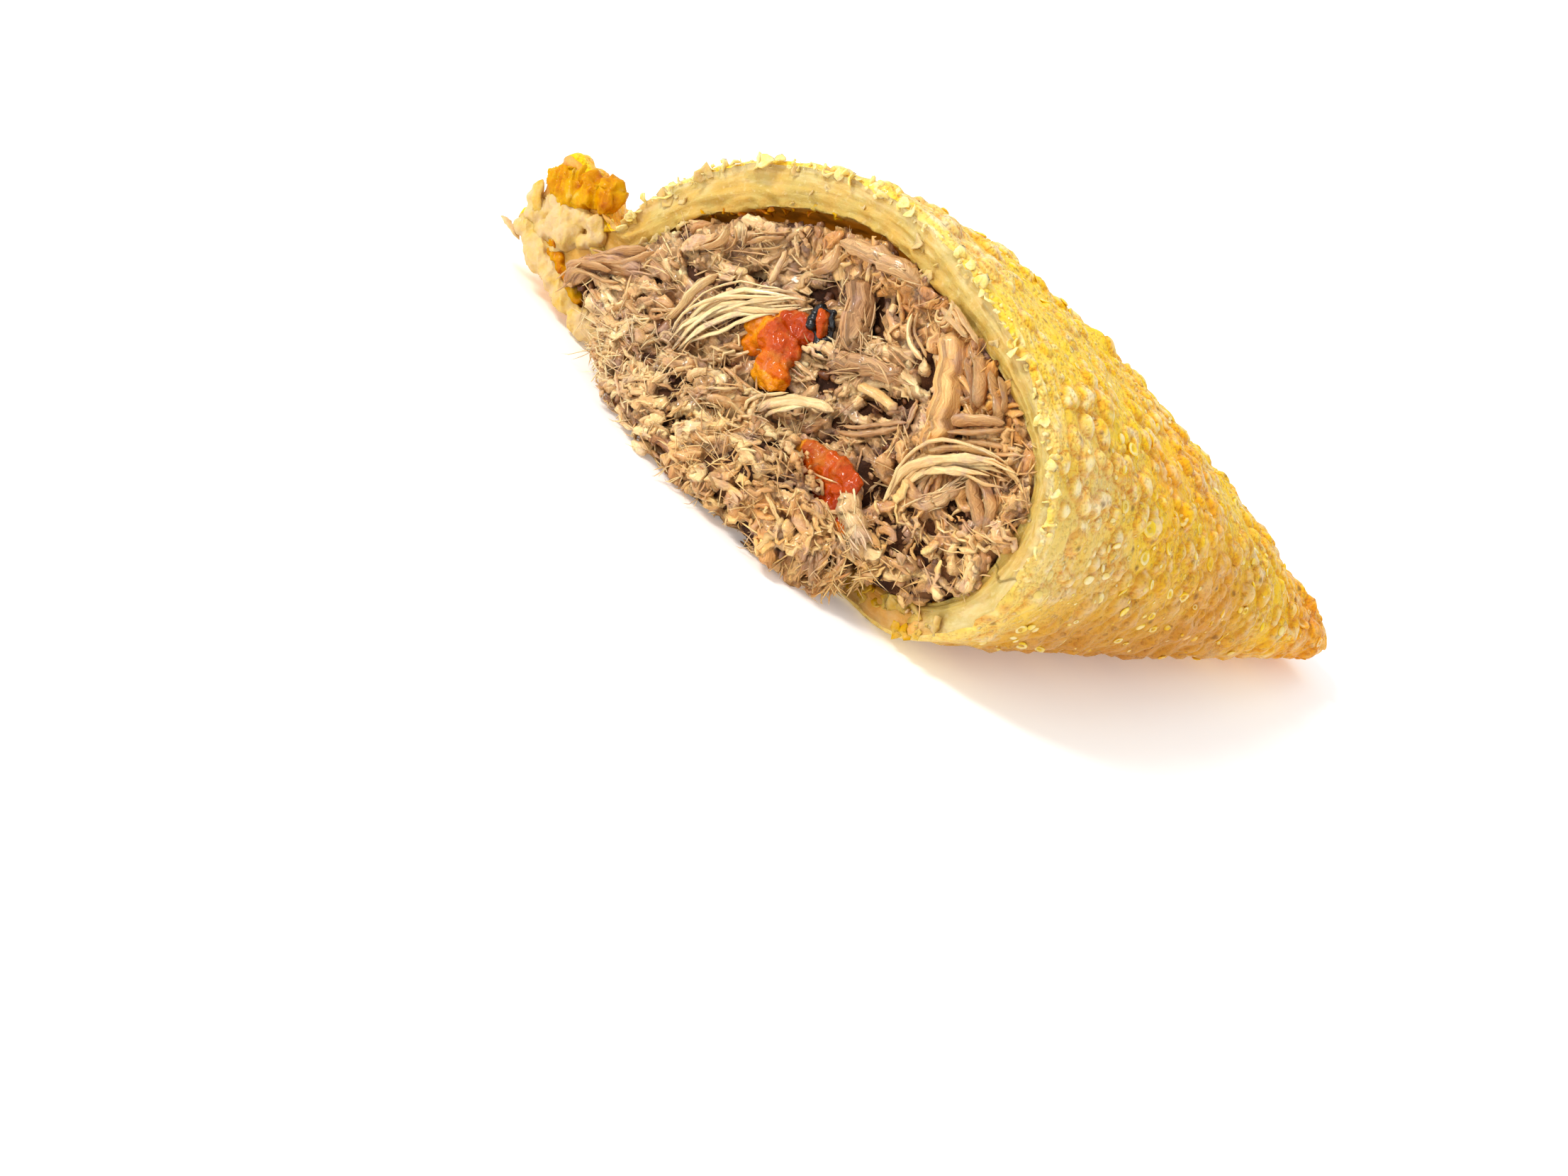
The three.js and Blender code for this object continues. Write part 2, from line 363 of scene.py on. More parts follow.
class Value:
    """A socket that takes part in sums."""

    def __init__(self, tree: "Tree", socket: Any) -> None:
        """Wraps an output socket of a tree."""
        self.tree = tree
        self.socket = socket

    def math(self, operation: str, *others: Any) -> "Value":
        """A Math node on this value and others."""
        sides = dict(enumerate((self, *others)))
        return self.tree.value("ShaderNodeMath", {"operation": operation}, sides)

    def __add__(self, other: Any) -> "Value":
        """This plus other."""
        return self.math("ADD", other)

    def __sub__(self, other: Any) -> "Value":
        """This less other."""
        return self.math("SUBTRACT", other)

    def __mul__(self, other: Any) -> "Value":
        """This times other."""
        return self.math("MULTIPLY", other)

    def __truediv__(self, other: Any) -> "Value":
        """This over other."""
        return self.math("DIVIDE", other)

    def __pow__(self, other: Any) -> "Value":
        """This to the power of other."""
        return self.math("POWER", other)

    def __rsub__(self, other: float) -> "Value":
        """Other less this."""
        return self.tree.value("ShaderNodeMath", {"operation": "SUBTRACT"}, {0: other, 1: self})

    __radd__ = __add__
    __rmul__ = __mul__

    def within(self) -> "Value":
        """This, kept between 0 and 1."""
        return self.tree.value("ShaderNodeClamp", {}, {0: self})

    def rise(self, low: float, high: float) -> "Value":
        """A smooth rise from 0 at low to 1 at high."""
        settings = {"interpolation_type": "SMOOTHSTEP"}
        return self.tree.value("ShaderNodeMapRange", settings, {0: self, 1: low, 2: high})


class Tree:
    """A node tree that is built by calls."""

    def __init__(self, nodes: Any) -> None:
        """Wraps a shader or geometry tree."""
        self.nodes = nodes

    def add(self, kind: str, settings: dict[str, Any] | None = None,
            inputs: dict[Any, Any] | None = None) -> Any:
        """Adds a node.

        Args:
            kind: the node's type.
            settings: its own settings, set first; stops are a ramp's places and colours.
            inputs: values, sockets or wrapped sockets, by the input's number or name.

        Returns:
            The node.
        """
        node = self.nodes.nodes.new(kind)
        for key, value in (settings or {}).items():
            if key == "stops":
                self._stops(node.color_ramp, value)
            else:
                setattr(node, key, value)
        for key, value in (inputs or {}).items():
            socket = node.inputs[key]
            if isinstance(value, Value):
                value = value.socket
            if isinstance(value, bpy.types.NodeSocket):
                self.nodes.links.new(value, socket)
            else:
                socket.default_value = value
        return node

    def value(self, kind: str, settings: dict[str, Any] | None = None,
              inputs: dict[Any, Any] | None = None, output: Any = 0) -> Value:
        """Adds a node, as add does, and wraps one of its outputs."""
        return Value(self, self.add(kind, settings, inputs).outputs[output])

    @staticmethod
    def _stops(ramp: Any, stops: Sequence[tuple[float, Sequence[float]]]) -> None:
        """Sets a colour ramp's stops.

        Args:
            ramp: the ramp.
            stops: each stop's place, from 0 to 1, and colour.
        """
        while len(ramp.elements) < len(stops):
            ramp.elements.new(1.0)
        for element, (place, colour) in zip(ramp.elements, stops):
            element.position = place
            element.color = colour


class Shader(Tree):
    """The tree of one finish."""

    def __init__(self, name: str) -> None:
        """Starts a material.

        Args:
            name: the material's name.
        """
        self.material = bpy.data.materials.new(name)
        self.material.use_nodes = True
        super().__init__(self.material.node_tree)
        self.nodes.nodes.clear()
        self.place = self.value("ShaderNodeTexCoord", output="Object")

    def attribute(self, name: str) -> Value:
        """A number kept at each point of the piece."""
        return self.value("ShaderNodeAttribute", {"attribute_name": name}, output="Fac")

    def noise(self, pitch: float, detail: float = 2.0, rough: float = 0.5, warp: float = 0.0,
              at: Any = None) -> Value:
        """Cloudy heights from 0 to 1.

        Args:
            pitch: the size of a cloud in millimetres, or in the units of at.
            detail: how many finer sizes.
            rough: how strong they are.
            warp: how much the clouds are drawn out of shape.
            at: where they are read; the place in space if left out.

        Returns:
            The height.
        """
        scale = 1 / (pitch * MM) if at is None else 1 / pitch
        inputs = {"Vector": at or self.place, "Scale": scale, "Detail": detail, "Roughness": rough,
                  "Distortion": warp}
        return self.value("ShaderNodeTexNoise", {}, inputs)

    def cells(self, pitch: float, feature: str = "F1") -> Value:
        """Cells round scattered points.

        Args:
            pitch: the size of a cell in millimetres.
            feature: what is read: the distance to the nearest point, or to the cell's edge.

        Returns:
            The distance, in cells.
        """
        inputs = {"Vector": self.place, "Scale": 1 / (pitch * MM)}
        return self.value("ShaderNodeTexVoronoi", {"feature": feature}, inputs)

    def blend(self, factor: Any, a: Any, b: Any, kind: str = "MIX") -> Value:
        """A colour between a and b."""
        settings = {"data_type": "RGBA", "blend_type": kind, "clamp_factor": True}
        return self.value("ShaderNodeMix", settings, {0: factor, 6: a, 7: b}, 2)

    def ramp(self, factor: Value, *stops: tuple[float, Sequence[float]]) -> Value:
        """Colours along a ramp."""
        return self.value("ShaderNodeValToRGB", {"stops": stops}, {0: factor})

    def triple(self, x: Any, y: Any, z: Any) -> Value:
        """A vector from three numbers."""
        return self.value("ShaderNodeCombineXYZ", {}, {0: x, 1: y, 2: z})

    def bump(self, height: Value, depth: float, strength: float = 1.0, under: Any = None) -> Value:
        """Relief of a depth in millimetres, on top of other relief.

        Args:
            height: the relief, from 0 to 1.
            depth: how deep it is, in millimetres.
            strength: how much of it shows.
            under: the relief that it lies on.

        Returns:
            The normal.
        """
        inputs = {"Height": height, "Distance": depth * MM, "Strength": strength}
        if under is not None:
            inputs["Normal"] = under
        return self.value("ShaderNodeBump", {}, inputs)

    def finish(self, **inputs: Any) -> Material:
        """Closes the tree with a surface.

        Args:
            inputs: the surface's own sockets, with _ for a space in their names.

        Returns:
            The material.
        """
        named = {key.replace("_", " "): value for key, value in inputs.items()}
        surface = self.add("ShaderNodeBsdfPrincipled", {}, named)
        self.add("ShaderNodeOutputMaterial", {}, {"Surface": surface.outputs[0]})
        return self.material


class Recipe(Tree):
    """A Geometry Nodes tree with named inputs."""

    KINDS = {"Float": "NodeSocketFloat", "Int": "NodeSocketInt", "Material": "NodeSocketMaterial",
             "Object": "NodeSocketObject", "Vector": "NodeSocketVector"}

    def __init__(self, name: str, inputs: dict[str, str]) -> None:
        """Starts a tree.

        Args:
            name: the tree's name.
            inputs: the kind of each named input.
        """
        super().__init__(bpy.data.node_groups.new(name, "GeometryNodeTree"))
        face = self.nodes.interface
        face.new_socket("Geometry", in_out="INPUT", socket_type="NodeSocketGeometry")
        for key, kind in inputs.items():
            face.new_socket(key, in_out="INPUT", socket_type=self.KINDS[kind])
        face.new_socket("Geometry", in_out="OUTPUT", socket_type="NodeSocketGeometry")
        self.given = self.add("NodeGroupInput")

    def input(self, name: str) -> Value:
        """One of the tree's inputs."""
        return Value(self, self.given.outputs[name])

    def named(self, name: str) -> Value:
        """A number kept at each point."""
        return self.value("GeometryNodeInputNamedAttribute", {"data_type": "FLOAT"}, {"Name": name})

    def keep(self, geometry: Value, name: str, number: Value) -> Value:
        """Keeps a number at each point.

        Args:
            geometry: what has the points.
            name: the attribute's name.
            number: the number.

        Returns:
            The geometry.
        """
        settings = {"data_type": "FLOAT", "domain": "POINT"}
        inputs = {"Geometry": geometry, "Name": name, "Value": number}
        return self.value("GeometryNodeStoreNamedAttribute", settings, inputs)

    def random(self, low: float, high: float, seed: int) -> Value:
        """A random number for each point."""
        inputs = {2: low, 3: high, 8: seed}
        return self.value("FunctionNodeRandomValue", {"data_type": "FLOAT"}, inputs, 1)

    def triple_random(self, most: Any) -> Value:
        """A random turn for each point: any turn about Z, and up to most about X and Y.

        Args:
            most: the most lean, in radians.

        Returns:
            The turn, as angles about X, Y and Z.
        """
        lean = [self.random(-1.0, 1.0, seed) * most for seed in (21, 22)]
        inputs = {0: lean[0], 1: lean[1], 2: self.random(0.0, 2 * math.pi, 23)}
        return self.value("ShaderNodeCombineXYZ", {}, inputs)

    def vector(self, operation: str, *parts: Any) -> Value:
        """A Vector Math node."""
        return self.value("ShaderNodeVectorMath", {"operation": operation}, dict(enumerate(parts)))

    def roughen(self, geometry: Value, pitch: Any, height: Any) -> Value:
        """Moves points along the normal by noise.

        Args:
            geometry: what is moved.
            pitch: noise scale, bumps in a metre.
            height: how far, in metres.

        Returns:
            The moved geometry.
        """
        spot = self.value("GeometryNodeInputPosition")
        cloud = self.value("ShaderNodeTexNoise", {}, {"Vector": spot, "Scale": pitch, "Detail": 2.0})
        push = (cloud - 0.5) * height
        normal = self.value("GeometryNodeInputNormal")
        offset = self.value("ShaderNodeVectorMath", {"operation": "SCALE"}, {0: normal, 3: push})
        return self.value("GeometryNodeSetPosition", {}, {"Geometry": geometry, "Offset": offset})

    def close(self, geometry: Value, material: Value) -> None:
        """Realizes the result, sets its finish and gives it out.

        Args:
            geometry: the result.
            material: its finish.
        """
        solid = self.value("GeometryNodeRealizeInstances", {}, {"Geometry": geometry})
        even = self.value("GeometryNodeSetShadeSmooth", {}, {"Geometry": solid})
        done = self.value("GeometryNodeSetMaterial", {}, {"Geometry": even, "Material": material})
        self.add("NodeGroupOutput", {}, {"Geometry": done})

    def make(self, host: Piece, name: str, inputs: dict[str, Any]) -> Piece:
        """Runs the tree on a host and keeps the result as a plain mesh.

        Args:
            host: the object that holds the tree's input; it is removed.
            name: the new piece's name.
            inputs: the values of the tree's inputs, by name.

        Returns:
            The new piece.
        """
        modifier = host.modifiers.new("make", "NODES")
        modifier.node_group = self.nodes
        for item in self.nodes.interface.items_tree:
            if item.in_out == "INPUT" and item.name in inputs:
                modifier[item.identifier] = inputs[item.name]
        bpy.context.view_layer.update()
        graph = bpy.context.evaluated_depsgraph_get()
        mesh = bpy.data.meshes.new_from_object(host.evaluated_get(graph), depsgraph=graph)
        mesh.name = name
        bpy.data.objects.remove(host)
        return linked(name, mesh)


# ---- The section ----------------------------------------------------------------------------------


@dataclass(frozen=True)
class Section:
    """The turnover's section at any distance from the cut."""

    half_length: float = 75.0
    width: float = 68.0
    height: float = 32.5
    wall: float = 3.6
    crown_wall: float = 4.2
    shoulder_thinning: float = 1.6
    fold_height: float = 13.0
    crown_place: float = 0.54
    taper: float = 1.45
    fold_fullness: float = 2.15
    seam_fullness: float = 1.6
    belly_round: float = 12.0
    fold_sweep: float = 6.0
    rim_width: float = 10.5
    rim_rest: float = 1.2
    rim_slope: float = 14.0
    lower_layer: float = 2.2
    upper_layer: float = 2.4
    upper_reach: float = 0.74
    rim_wave: float = 0.5
    rim_waves: float = 7.0
    knot_height: float = 10.2
    knot_crease: float = 9.6
    knot_length: float = 9.0
    corner_width: float = 9.0
    corner_height: float = 5.0
    corner_rest: float = 0.8
    air_gap: float = 1.6
    air_length: float = 16.0
    wedge: float = 2.0
    layer_groove: float = 0.08
    spill_centre: Spot = (-2.4, 31.0, 3.9)
    spill_radii: Spot = (7.4, 18.0, 5.8)
    spill_lowest: float = 0.4
    corner_band: float = 0.35
    corner_press: float = 0.7
    corner_round: float = 0.3
    full_swell: float = 1.7
    knot_reach: float = 0.9
    rest_start: float = 0.72
    round_steps: int = 24
    hollow_steps: int = 60
    lump_pitch: float = 6.0
    lump_height: float = 0.9
    stands: Pair = (-1.2, 3.0)
    rim_setback: float = 2.5

    def sizes(self, x: float) -> dict[str, float]:
        """Works out the crust's sizes.

        Args:
            x: the distance from the cut.

        Returns:
            The sizes, by name.
        """
        t = min(max(x / self.half_length, 0.0), 1.0)
        swell = math.sqrt(1 - t * t)
        low = min(1.0, swell * self.full_swell)
        rise = 1 - t**self.taper
        gather = float(bell(x, self.knot_length))
        turn = self.rim_waves * 2 * math.pi * t + 3 * t * t
        wave = self.rim_wave * swell * (1 - gather) * math.sin(turn)
        band = mix(self.corner_width * self.corner_band, self.rim_width, low)
        layers = self.lower_layer + self.upper_layer
        pressed = mix(self.corner_height * self.corner_press, layers, low)
        corner_crown = self.corner_height + self.corner_rest
        corner_fold = self.corner_rest + self.corner_height / 2
        return {
            "fold": self.fold_sweep * t * t,
            "gather": gather,
            "band": band + wave,
            "seam": mix(self.fold_sweep + self.corner_width, self.width, swell) - band,
            "crown": mix(corner_crown, self.height, rise),
            "fold_height": mix(corner_fold, self.fold_height, rise),
            "round": self.belly_round * mix(self.corner_round, 1, swell),
            "floor": self.corner_rest * float(smooth(0.55, 1, t)),
            "slope": math.tan(math.radians(self.rim_slope * swell)),
            "lower": pressed * self.lower_layer / layers,
            "crease": mix(pressed, self.knot_crease, gather),
            "top": mix(pressed, self.knot_height, gather),
            "reach": mix(self.upper_reach, self.knot_reach, gather),
        }

    def dome(self, size: dict[str, float], steps: int = 160) -> Array:
        """The dome from the fold, over the crown, to the seam.

        Args:
            size: the section's sizes.
            steps: how many steps along it.

        Returns:
            Points of y and z.
        """
        crown_y = mix(size["fold"], size["seam"], self.crown_place)
        seam_z = self.rim_rest + size["floor"] + size["crease"]
        angle = np.linspace(0, math.pi, steps + 1)
        on_fold = angle <= math.pi / 2
        turn = np.where(on_fold, angle, math.pi - angle)
        power = 2 / np.where(on_fold, self.fold_fullness, self.seam_fullness)
        u = np.abs(np.cos(turn)) ** power
        v = np.abs(np.sin(turn)) ** power
        side_y = np.where(on_fold, size["fold"], size["seam"])
        side_z = np.where(on_fold, size["fold_height"], seam_z)
        return np.stack([mix(crown_y, side_y, u), mix(side_z, size["crown"], v)], 1)

    def belly(self, size: dict[str, float]) -> Array:
        """The belly from the fold, round under it, to the seam's underside.

        Args:
            size: the section's sizes.

        Returns:
            Points of y and z.
        """
        flat_y = size["fold"] + size["round"]
        angle = np.linspace(0, math.pi / 2, self.round_steps)
        bend = np.stack([flat_y - size["round"] * np.cos(angle),
                         mix(size["fold_height"], size["floor"], np.sin(angle))], 1)
        s = np.linspace(0, 1, self.round_steps)[1:]
        flat = np.stack([mix(flat_y, size["seam"], s),
                         size["floor"] + self.rim_rest * smooth(self.rest_start, 1, s)], 1)
        return np.concatenate([bend, flat])

    def band(self, size: dict[str, float], flutter: Pair = (0.0, 0.0)) -> Array:
        """The pressed rim from its underside, round both layers' edges, back to the crease.

        Args:
            size: the section's sizes.
            flutter: how far the lower and the upper layer's edge stand out or lift here.

        Returns:
            Points of y and z.
        """
        lower, top, reach = size["lower"], size["top"], size["reach"]
        edge, lift = flutter
        groove = reach * (1 - self.layer_groove)
        spots = [(0.0, 0.0), (0.33, 0.0), (0.66, 0.0), (0.93, 0.0), (1.03, lower * 0.2),
                 (1.05 + edge, lower * 0.5), (1.04 + edge, lower * 0.85), (0.98 + edge, lower * 1.02),
                 (mix(reach, 1.0, 0.4), lower * 1.04), (groove, lower * 1.0),
                 (reach * 1.0, lower * 1.15 + lift * 0.3), (reach * 1.03, mix(lower, top, 0.35) + lift),
                 (reach * 1.02, mix(lower, top, 0.75) + lift), (reach * 0.95, top * 0.99 + lift * 0.7)]
        s = np.linspace(0.86, 0.0, 12)
        back = mix(size["crease"], top, np.sqrt(s))
        dip = 0.35 * bell(s - 0.1, 0.12) * min(1.0, top / 5)
        spots += list(zip(reach * s, back - dip))
        uv = np.array(spots)
        run = size["band"] * uv[:, 0]
        rest = self.rim_rest + size["floor"]
        return np.stack([size["seam"] + run, rest + size["slope"] * run + uv[:, 1]], 1)

    def hollow(self, x: float, inset: float = 0.0, gap: float = 0.0) -> tuple[Array, Array, Array]:
        """The hollow in the shell.

        Args:
            x: the distance from the cut.
            inset: how much smaller it is all round.
            gap: how much lower it is under the crown.

        Returns:
            Its floor from the fold's side to the wedge, the wedge, and its roof back to the fold.
        """
        size = self.sizes(x)
        wall = self.wall + inset
        dome = self.dome(size, self.hollow_steps)
        ahead = np.vstack([dome[1:], dome[-1:]])
        behind = np.vstack([dome[:1], dome[:-1]])
        along = unit(ahead - behind)
        over, rise = along[:, 0], along[:, 1]
        depth = wall + (self.crown_wall - self.wall + gap) * np.maximum(over, 0) ** 2
        depth -= self.shoulder_thinning * np.maximum(2 * over * rise, 0) ** 2
        roof = np.stack([dome[:, 0] + depth * rise, dome[:, 1] - depth * over], 1)[::-1]
        flat_y = size["fold"] + size["round"]
        floor = size["floor"] + wall
        angle = np.linspace(0, math.pi / 2, 16)[1:]
        reach = size["round"] - wall
        corner = np.stack([flat_y - reach * np.cos(angle),
                           mix(size["fold_height"], floor, np.sin(angle))], 1)
        wedge_y = size["seam"] + self.wedge * mix(-1, 1, size["gather"]) - 2 * inset
        tip = np.array([[wedge_y, floor]])
        ground = np.vstack([roof[-1:], corner, tip])
        return ground, np.vstack([tip, roof[:1]]), roof

    def lumps(self, y: Array, z: Array) -> Array:
        """Uneven lumps of the filling's face.

        Args:
            y, z: places on the face.

        Returns:
            A height for each, from -1 to 1.
        """
        k = 2 * math.pi / self.lump_pitch
        a = np.sin(k * y + 1.7 * np.sin(0.6 * k * z + 0.9))
        b = np.sin(0.8 * k * z + 1.3 * np.sin(0.5 * k * y))
        return 0.6 * a * b + 0.4 * np.sin(0.55 * k * (y + z) + 2.1)

    def face_stand(self, y: Array, z: Array) -> Array:
        """How far the filling's face stands out of the cut.

        Args:
            y, z: places on the face.

        Returns:
            The distance from the cut, outward.
        """
        low = 1 - smooth(4, 22, z)
        out = mix(0.2, 1, smooth(4, 16, y))
        stand = mix(*self.stands, low) * out - self.rim_setback * smooth(46, 58, y)
        return stand + self.lump_height * self.lumps(y, z)


# ---- Finishes -------------------------------------------------------------------------------------


CREAM = linear(255, 234, 186)


def fried(s: Shader, tone: Value) -> Value:
    """The colours of fried dough.

    Args:
        s: the finish's tree.
        tone: how far it has fried, from 0 to 1.

    Returns:
        The colour: straw, yellow, gold, orange and then brown.
    """
    return s.ramp(tone, (0.0, linear(242, 208, 114)), (0.22, linear(249, 205, 58)),
                  (0.45, linear(255, 208, 12)), (0.7, linear(255, 190, 6)), (1.0, linear(238, 148, 12)))


@dataclass(frozen=True)
class CrustFinish:
    """Fried dough: pale by the cut, golden and orange further off, with fine blisters."""

    name: str = "fried_dough"
    ring: Colour = linear(216, 128, 20)
    underside: Colour = linear(204, 138, 44)
    speck: Colour = linear(96, 52, 20)
    cell: float = 0.85
    fine_cell: float = 0.42
    speck_pitch: float = 3.1
    rough: float = 0.4
    glow: float = 0.3

    def make(self) -> Material:
        """Builds the material.

        Returns:
            The material.
        """
        s = Shader(self.name)
        brown = s.attribute("brown")
        clouds = s.noise(7.0, 4.0, 0.6, 0.6)
        small = s.noise(1.6, 3.0, 0.6, 0.4)
        tone = (brown + (clouds - 0.5) * 0.55 + (small - 0.5) * 0.3).within()
        base = fried(s, tone)
        blister = s.attribute("blister")
        ring = s.attribute("ring")
        cells = s.cells(self.cell)
        edge = s.cells(self.cell, "DISTANCE_TO_EDGE")
        fine = s.cells(self.fine_cell)
        spread = s.noise(5.0, 2.0).rise(0.38, 0.62)
        tops = (1 - cells).rise(0.6, 0.95) * spread
        rims = (0.09 - edge).rise(0.0, 0.09) * spread
        pale = (1 - brown * 1.3).within()
        colour = s.blend((tops * (pale * 0.5 + 0.05)).within(), base, CREAM)
        colour = s.blend((rims * 0.42 + ring * 0.55).within(), colour, self.ring)
        bubbles = blister * s.noise(2.2, 2.0).rise(0.42, 0.62) * (pale * 0.45 + 0.4)
        colour = s.blend(bubbles.within(), colour, CREAM)
        colour = s.blend((s.attribute("under") * (clouds + 0.4)).within(), colour, self.underside)
        specks = (0.16 - s.cells(self.speck_pitch)).rise(0.0, 0.12)
        colour = s.blend(specks * 0.6, colour, self.speck)
        relief = tops * 1.0 + (1 - fine).rise(0.4, 1.0) * 0.5 + small * 0.5
        normal = s.bump(relief, 0.3)
        normal = s.bump(s.noise(0.3, 2.0), 0.06, under=normal)
        rough = (small * 0.3 + self.rough - 0.12 + rims * 0.15).within()
        return s.finish(Base_Color=colour, Roughness=rough, Normal=normal, Subsurface_Weight=self.glow,
                        Subsurface_Radius=(1.0, 0.55, 0.2), Subsurface_Scale=0.0012, Coat_Weight=0.28,
                        Coat_Roughness=0.07, Specular_IOR_Level=0.06)


@dataclass(frozen=True)
class BlisterFinish:
    """A blister: a thin cream dome with a golden outline."""

    name: str = "blister"
    top: Colour = CREAM
    rim: Colour = linear(216, 140, 46)

    def make(self) -> Material:
        """Builds the material.

        Returns:
            The material.
        """
        s = Shader(self.name)
        up = s.attribute("lift")
        clouds = s.noise(7.0, 4.0, 0.6, 0.6)
        tone = (s.attribute("brown") + (clouds - 0.5) * 0.55).within()
        body = fried(s, tone)
        pale = up.rise(0.2, 0.8) * s.noise(1.3, 2.0).rise(0.36, 0.62) * (1 - tone * 0.5) * 0.85
        colour = s.blend(pale, body, self.top)
        colour = s.blend((0.3 - up).rise(0.0, 0.3) * 0.35, colour, self.rim)
        small = s.noise(0.25, 2.0)
        normal = s.bump(small, 0.03)
        return s.finish(Base_Color=colour, Roughness=small * 0.2 + 0.24, Normal=normal,
                        Subsurface_Weight=0.35, Subsurface_Radius=(1.0, 0.7, 0.35),
                        Subsurface_Scale=0.0008, Coat_Weight=0.38, Coat_Roughness=0.08,
                        Specular_IOR_Level=0.08)


@dataclass(frozen=True)
class CutDoughFinish:
    """The cut through the dough: pale yellow, in faint layers; its outer edge and its hollow carry painted
    light.
    """

    name: str = "cut_dough"
    crumb: Colour = linear(222, 206, 150)
    fried: Colour = linear(232, 148, 24)
    # The orange that the dough is painted deep in the hollow: painted light, for light shining through the
    # shell.
    inside: Colour = linear(214, 134, 34)
    # Orange and strength of a painted glow deep in the hollow, in place of light shining through the shell.
    painted_glow_colour: Colour = linear(226, 128, 20)
    painted_glow_strength: float = 0.22

    def make(self) -> Material:
        """Builds the material.

        Returns:
            The material.
        """
        s = Shader(self.name)
        across = s.attribute("across")
        along = s.attribute("along")
        deep = s.attribute("deep")
        spot = s.triple(across * 5.0, along * 0.22, 0.0)
        layers = s.noise(1.0, 4.0, 0.6, 0.3, at=spot)
        grain = s.noise(0.5, 3.0)
        # Paler towards the outer edge, where across is low: a painted highlight along the cut's outer edge.
        tone = (across * 0.5 + (layers - 0.5) * 1.3 + 0.12).within()
        colour = s.ramp(tone, (0.0, linear(212, 192, 134)), (0.3, linear(194, 168, 92)),
                        (0.6, linear(187, 156, 72)), (1.0, linear(176, 134, 50)))
        patch = s.noise(2.4, 3.0, 0.6).rise(0.4, 0.62)
        colour = s.blend((grain.rise(0.55, 0.75) * 0.4).within(), colour, self.crumb)
        warm = (s.attribute("fried") * 0.7 + patch * 0.16).within()
        colour = s.blend(warm, colour, self.fried)
        # Deep in the hollow the dough turns orange: painted light, for the shell's light shining through.
        colour = s.blend(deep, colour, self.inside)
        # Painted glow: the hollow's dough gives out a faint orange light, which stands in for light through
        # the lit shell.
        painted_glow = s.blend(deep * patch.rise(-0.6, 1.0), linear(0, 0, 0), self.painted_glow_colour)
        relief = layers * 1.0 + grain * 0.4
        normal = s.bump(relief, 0.2)
        normal = s.bump(s.noise(0.22, 3.0, 0.6), 0.07, under=normal)
        return s.finish(Base_Color=colour, Roughness=0.45, Normal=normal, Subsurface_Weight=0.35,
                        Subsurface_Radius=(1.0, 0.7, 0.3), Subsurface_Scale=0.0016, Coat_Weight=0.1,
                        Coat_Roughness=0.3, Emission_Color=painted_glow, Emission_Strength=self.painted_glow_strength,
                        Specular_IOR_Level=0.25)


@dataclass(frozen=True)
class MeatFinish:
    """Shredded meat: fibres along each strand, brown-grey to tan, moist."""

    name: str = "meat"
    dark: Colour = linear(100, 56, 28)
    low: Colour = linear(190, 145, 100)
    high: Colour = linear(224, 184, 130)
    light: Colour = linear(252, 226, 172)
    golden: Colour = linear(255, 214, 132)
    rough: float = 0.42
    coat: float = 0.45
    cool: Colour = linear(190, 154, 138)
    warm: Colour = linear(204, 138, 74)
    fibre: float = 0.14
    fibre_width: float = 0.22

    def make(self) -> Material:
        """Builds the material.

        Returns:
            The material.
        """
        s = Shader(self.name)
        tint = s.attribute("tint")
        around = s.attribute("around") * s.attribute("thick") * (2 * math.pi / MM / self.fibre_width)
        spot = s.triple(s.attribute("along") * 0.5, around, tint * 91.0)
        fibres = s.noise(1.0, 4.0, 0.65, at=spot)
        cloud = s.noise(1.8, 3.0, 0.6)
        tone = (tint + (fibres - 0.5) * 1.3 + (cloud - 0.5) * 0.5).within()
        colour = s.ramp(tone, (0.0, self.dark), (0.3, self.low), (0.66, self.high), (1.0, self.light))
        colour = s.blend((s.attribute("gold") * 0.9).within(), colour, self.golden, "MULTIPLY")
        warm = s.noise(3.5, 2.0).rise(0.52, 0.75)
        colour = s.blend(warm * 0.25, colour, self.warm)
        cool = s.noise(2.4, 3.0, 0.6, 0.5).rise(0.5, 0.68)
        colour = s.blend(cool * 0.5, colour, self.cool)
        normal = s.bump(fibres, self.fibre)
        normal = s.bump(s.noise(0.2, 2.0), 0.07, under=normal)
        return s.finish(Base_Color=colour, Roughness=(cloud * 0.4 + self.rough - 0.2).within(),
                        Normal=normal, Subsurface_Weight=0.2, Subsurface_Radius=(1.0, 0.5, 0.25),
                        Subsurface_Scale=0.0006, Coat_Weight=self.coat, Coat_Roughness=0.12,
                        Specular_IOR_Level=0.2)


@dataclass(frozen=True)
class CrumbFinish:
    """Fried crumbs and flakes of dough."""

    name: str = "fried_crumb"
    plain: Colour = linear(208, 178, 130)
    straw: Colour = linear(210, 176, 98)

    def make(self) -> Material:
        """Builds the material.

        Returns:
            The material.
        """
        s = Shader(self.name)
        brown = s.attribute("brown")
        tone = (brown + (s.noise(1.1, 3.0, 0.6) - 0.5) * 0.8).within()
        colour = s.ramp(tone, (0.0, self.plain), (0.25, self.straw), (0.5, linear(204, 152, 6)),
                        (0.75, linear(198, 132, 0)), (1.0, linear(168, 86, 0)))
        normal = s.bump(s.noise(0.4, 3.0, 0.6), 0.12)
        return s.finish(Base_Color=colour, Roughness=0.42, Normal=normal, Subsurface_Weight=0.35,
                        Subsurface_Radius=(1.0, 0.6, 0.25), Subsurface_Scale=0.001, Coat_Weight=0.12,
                        Coat_Roughness=0.12, Specular_IOR_Level=0.05)


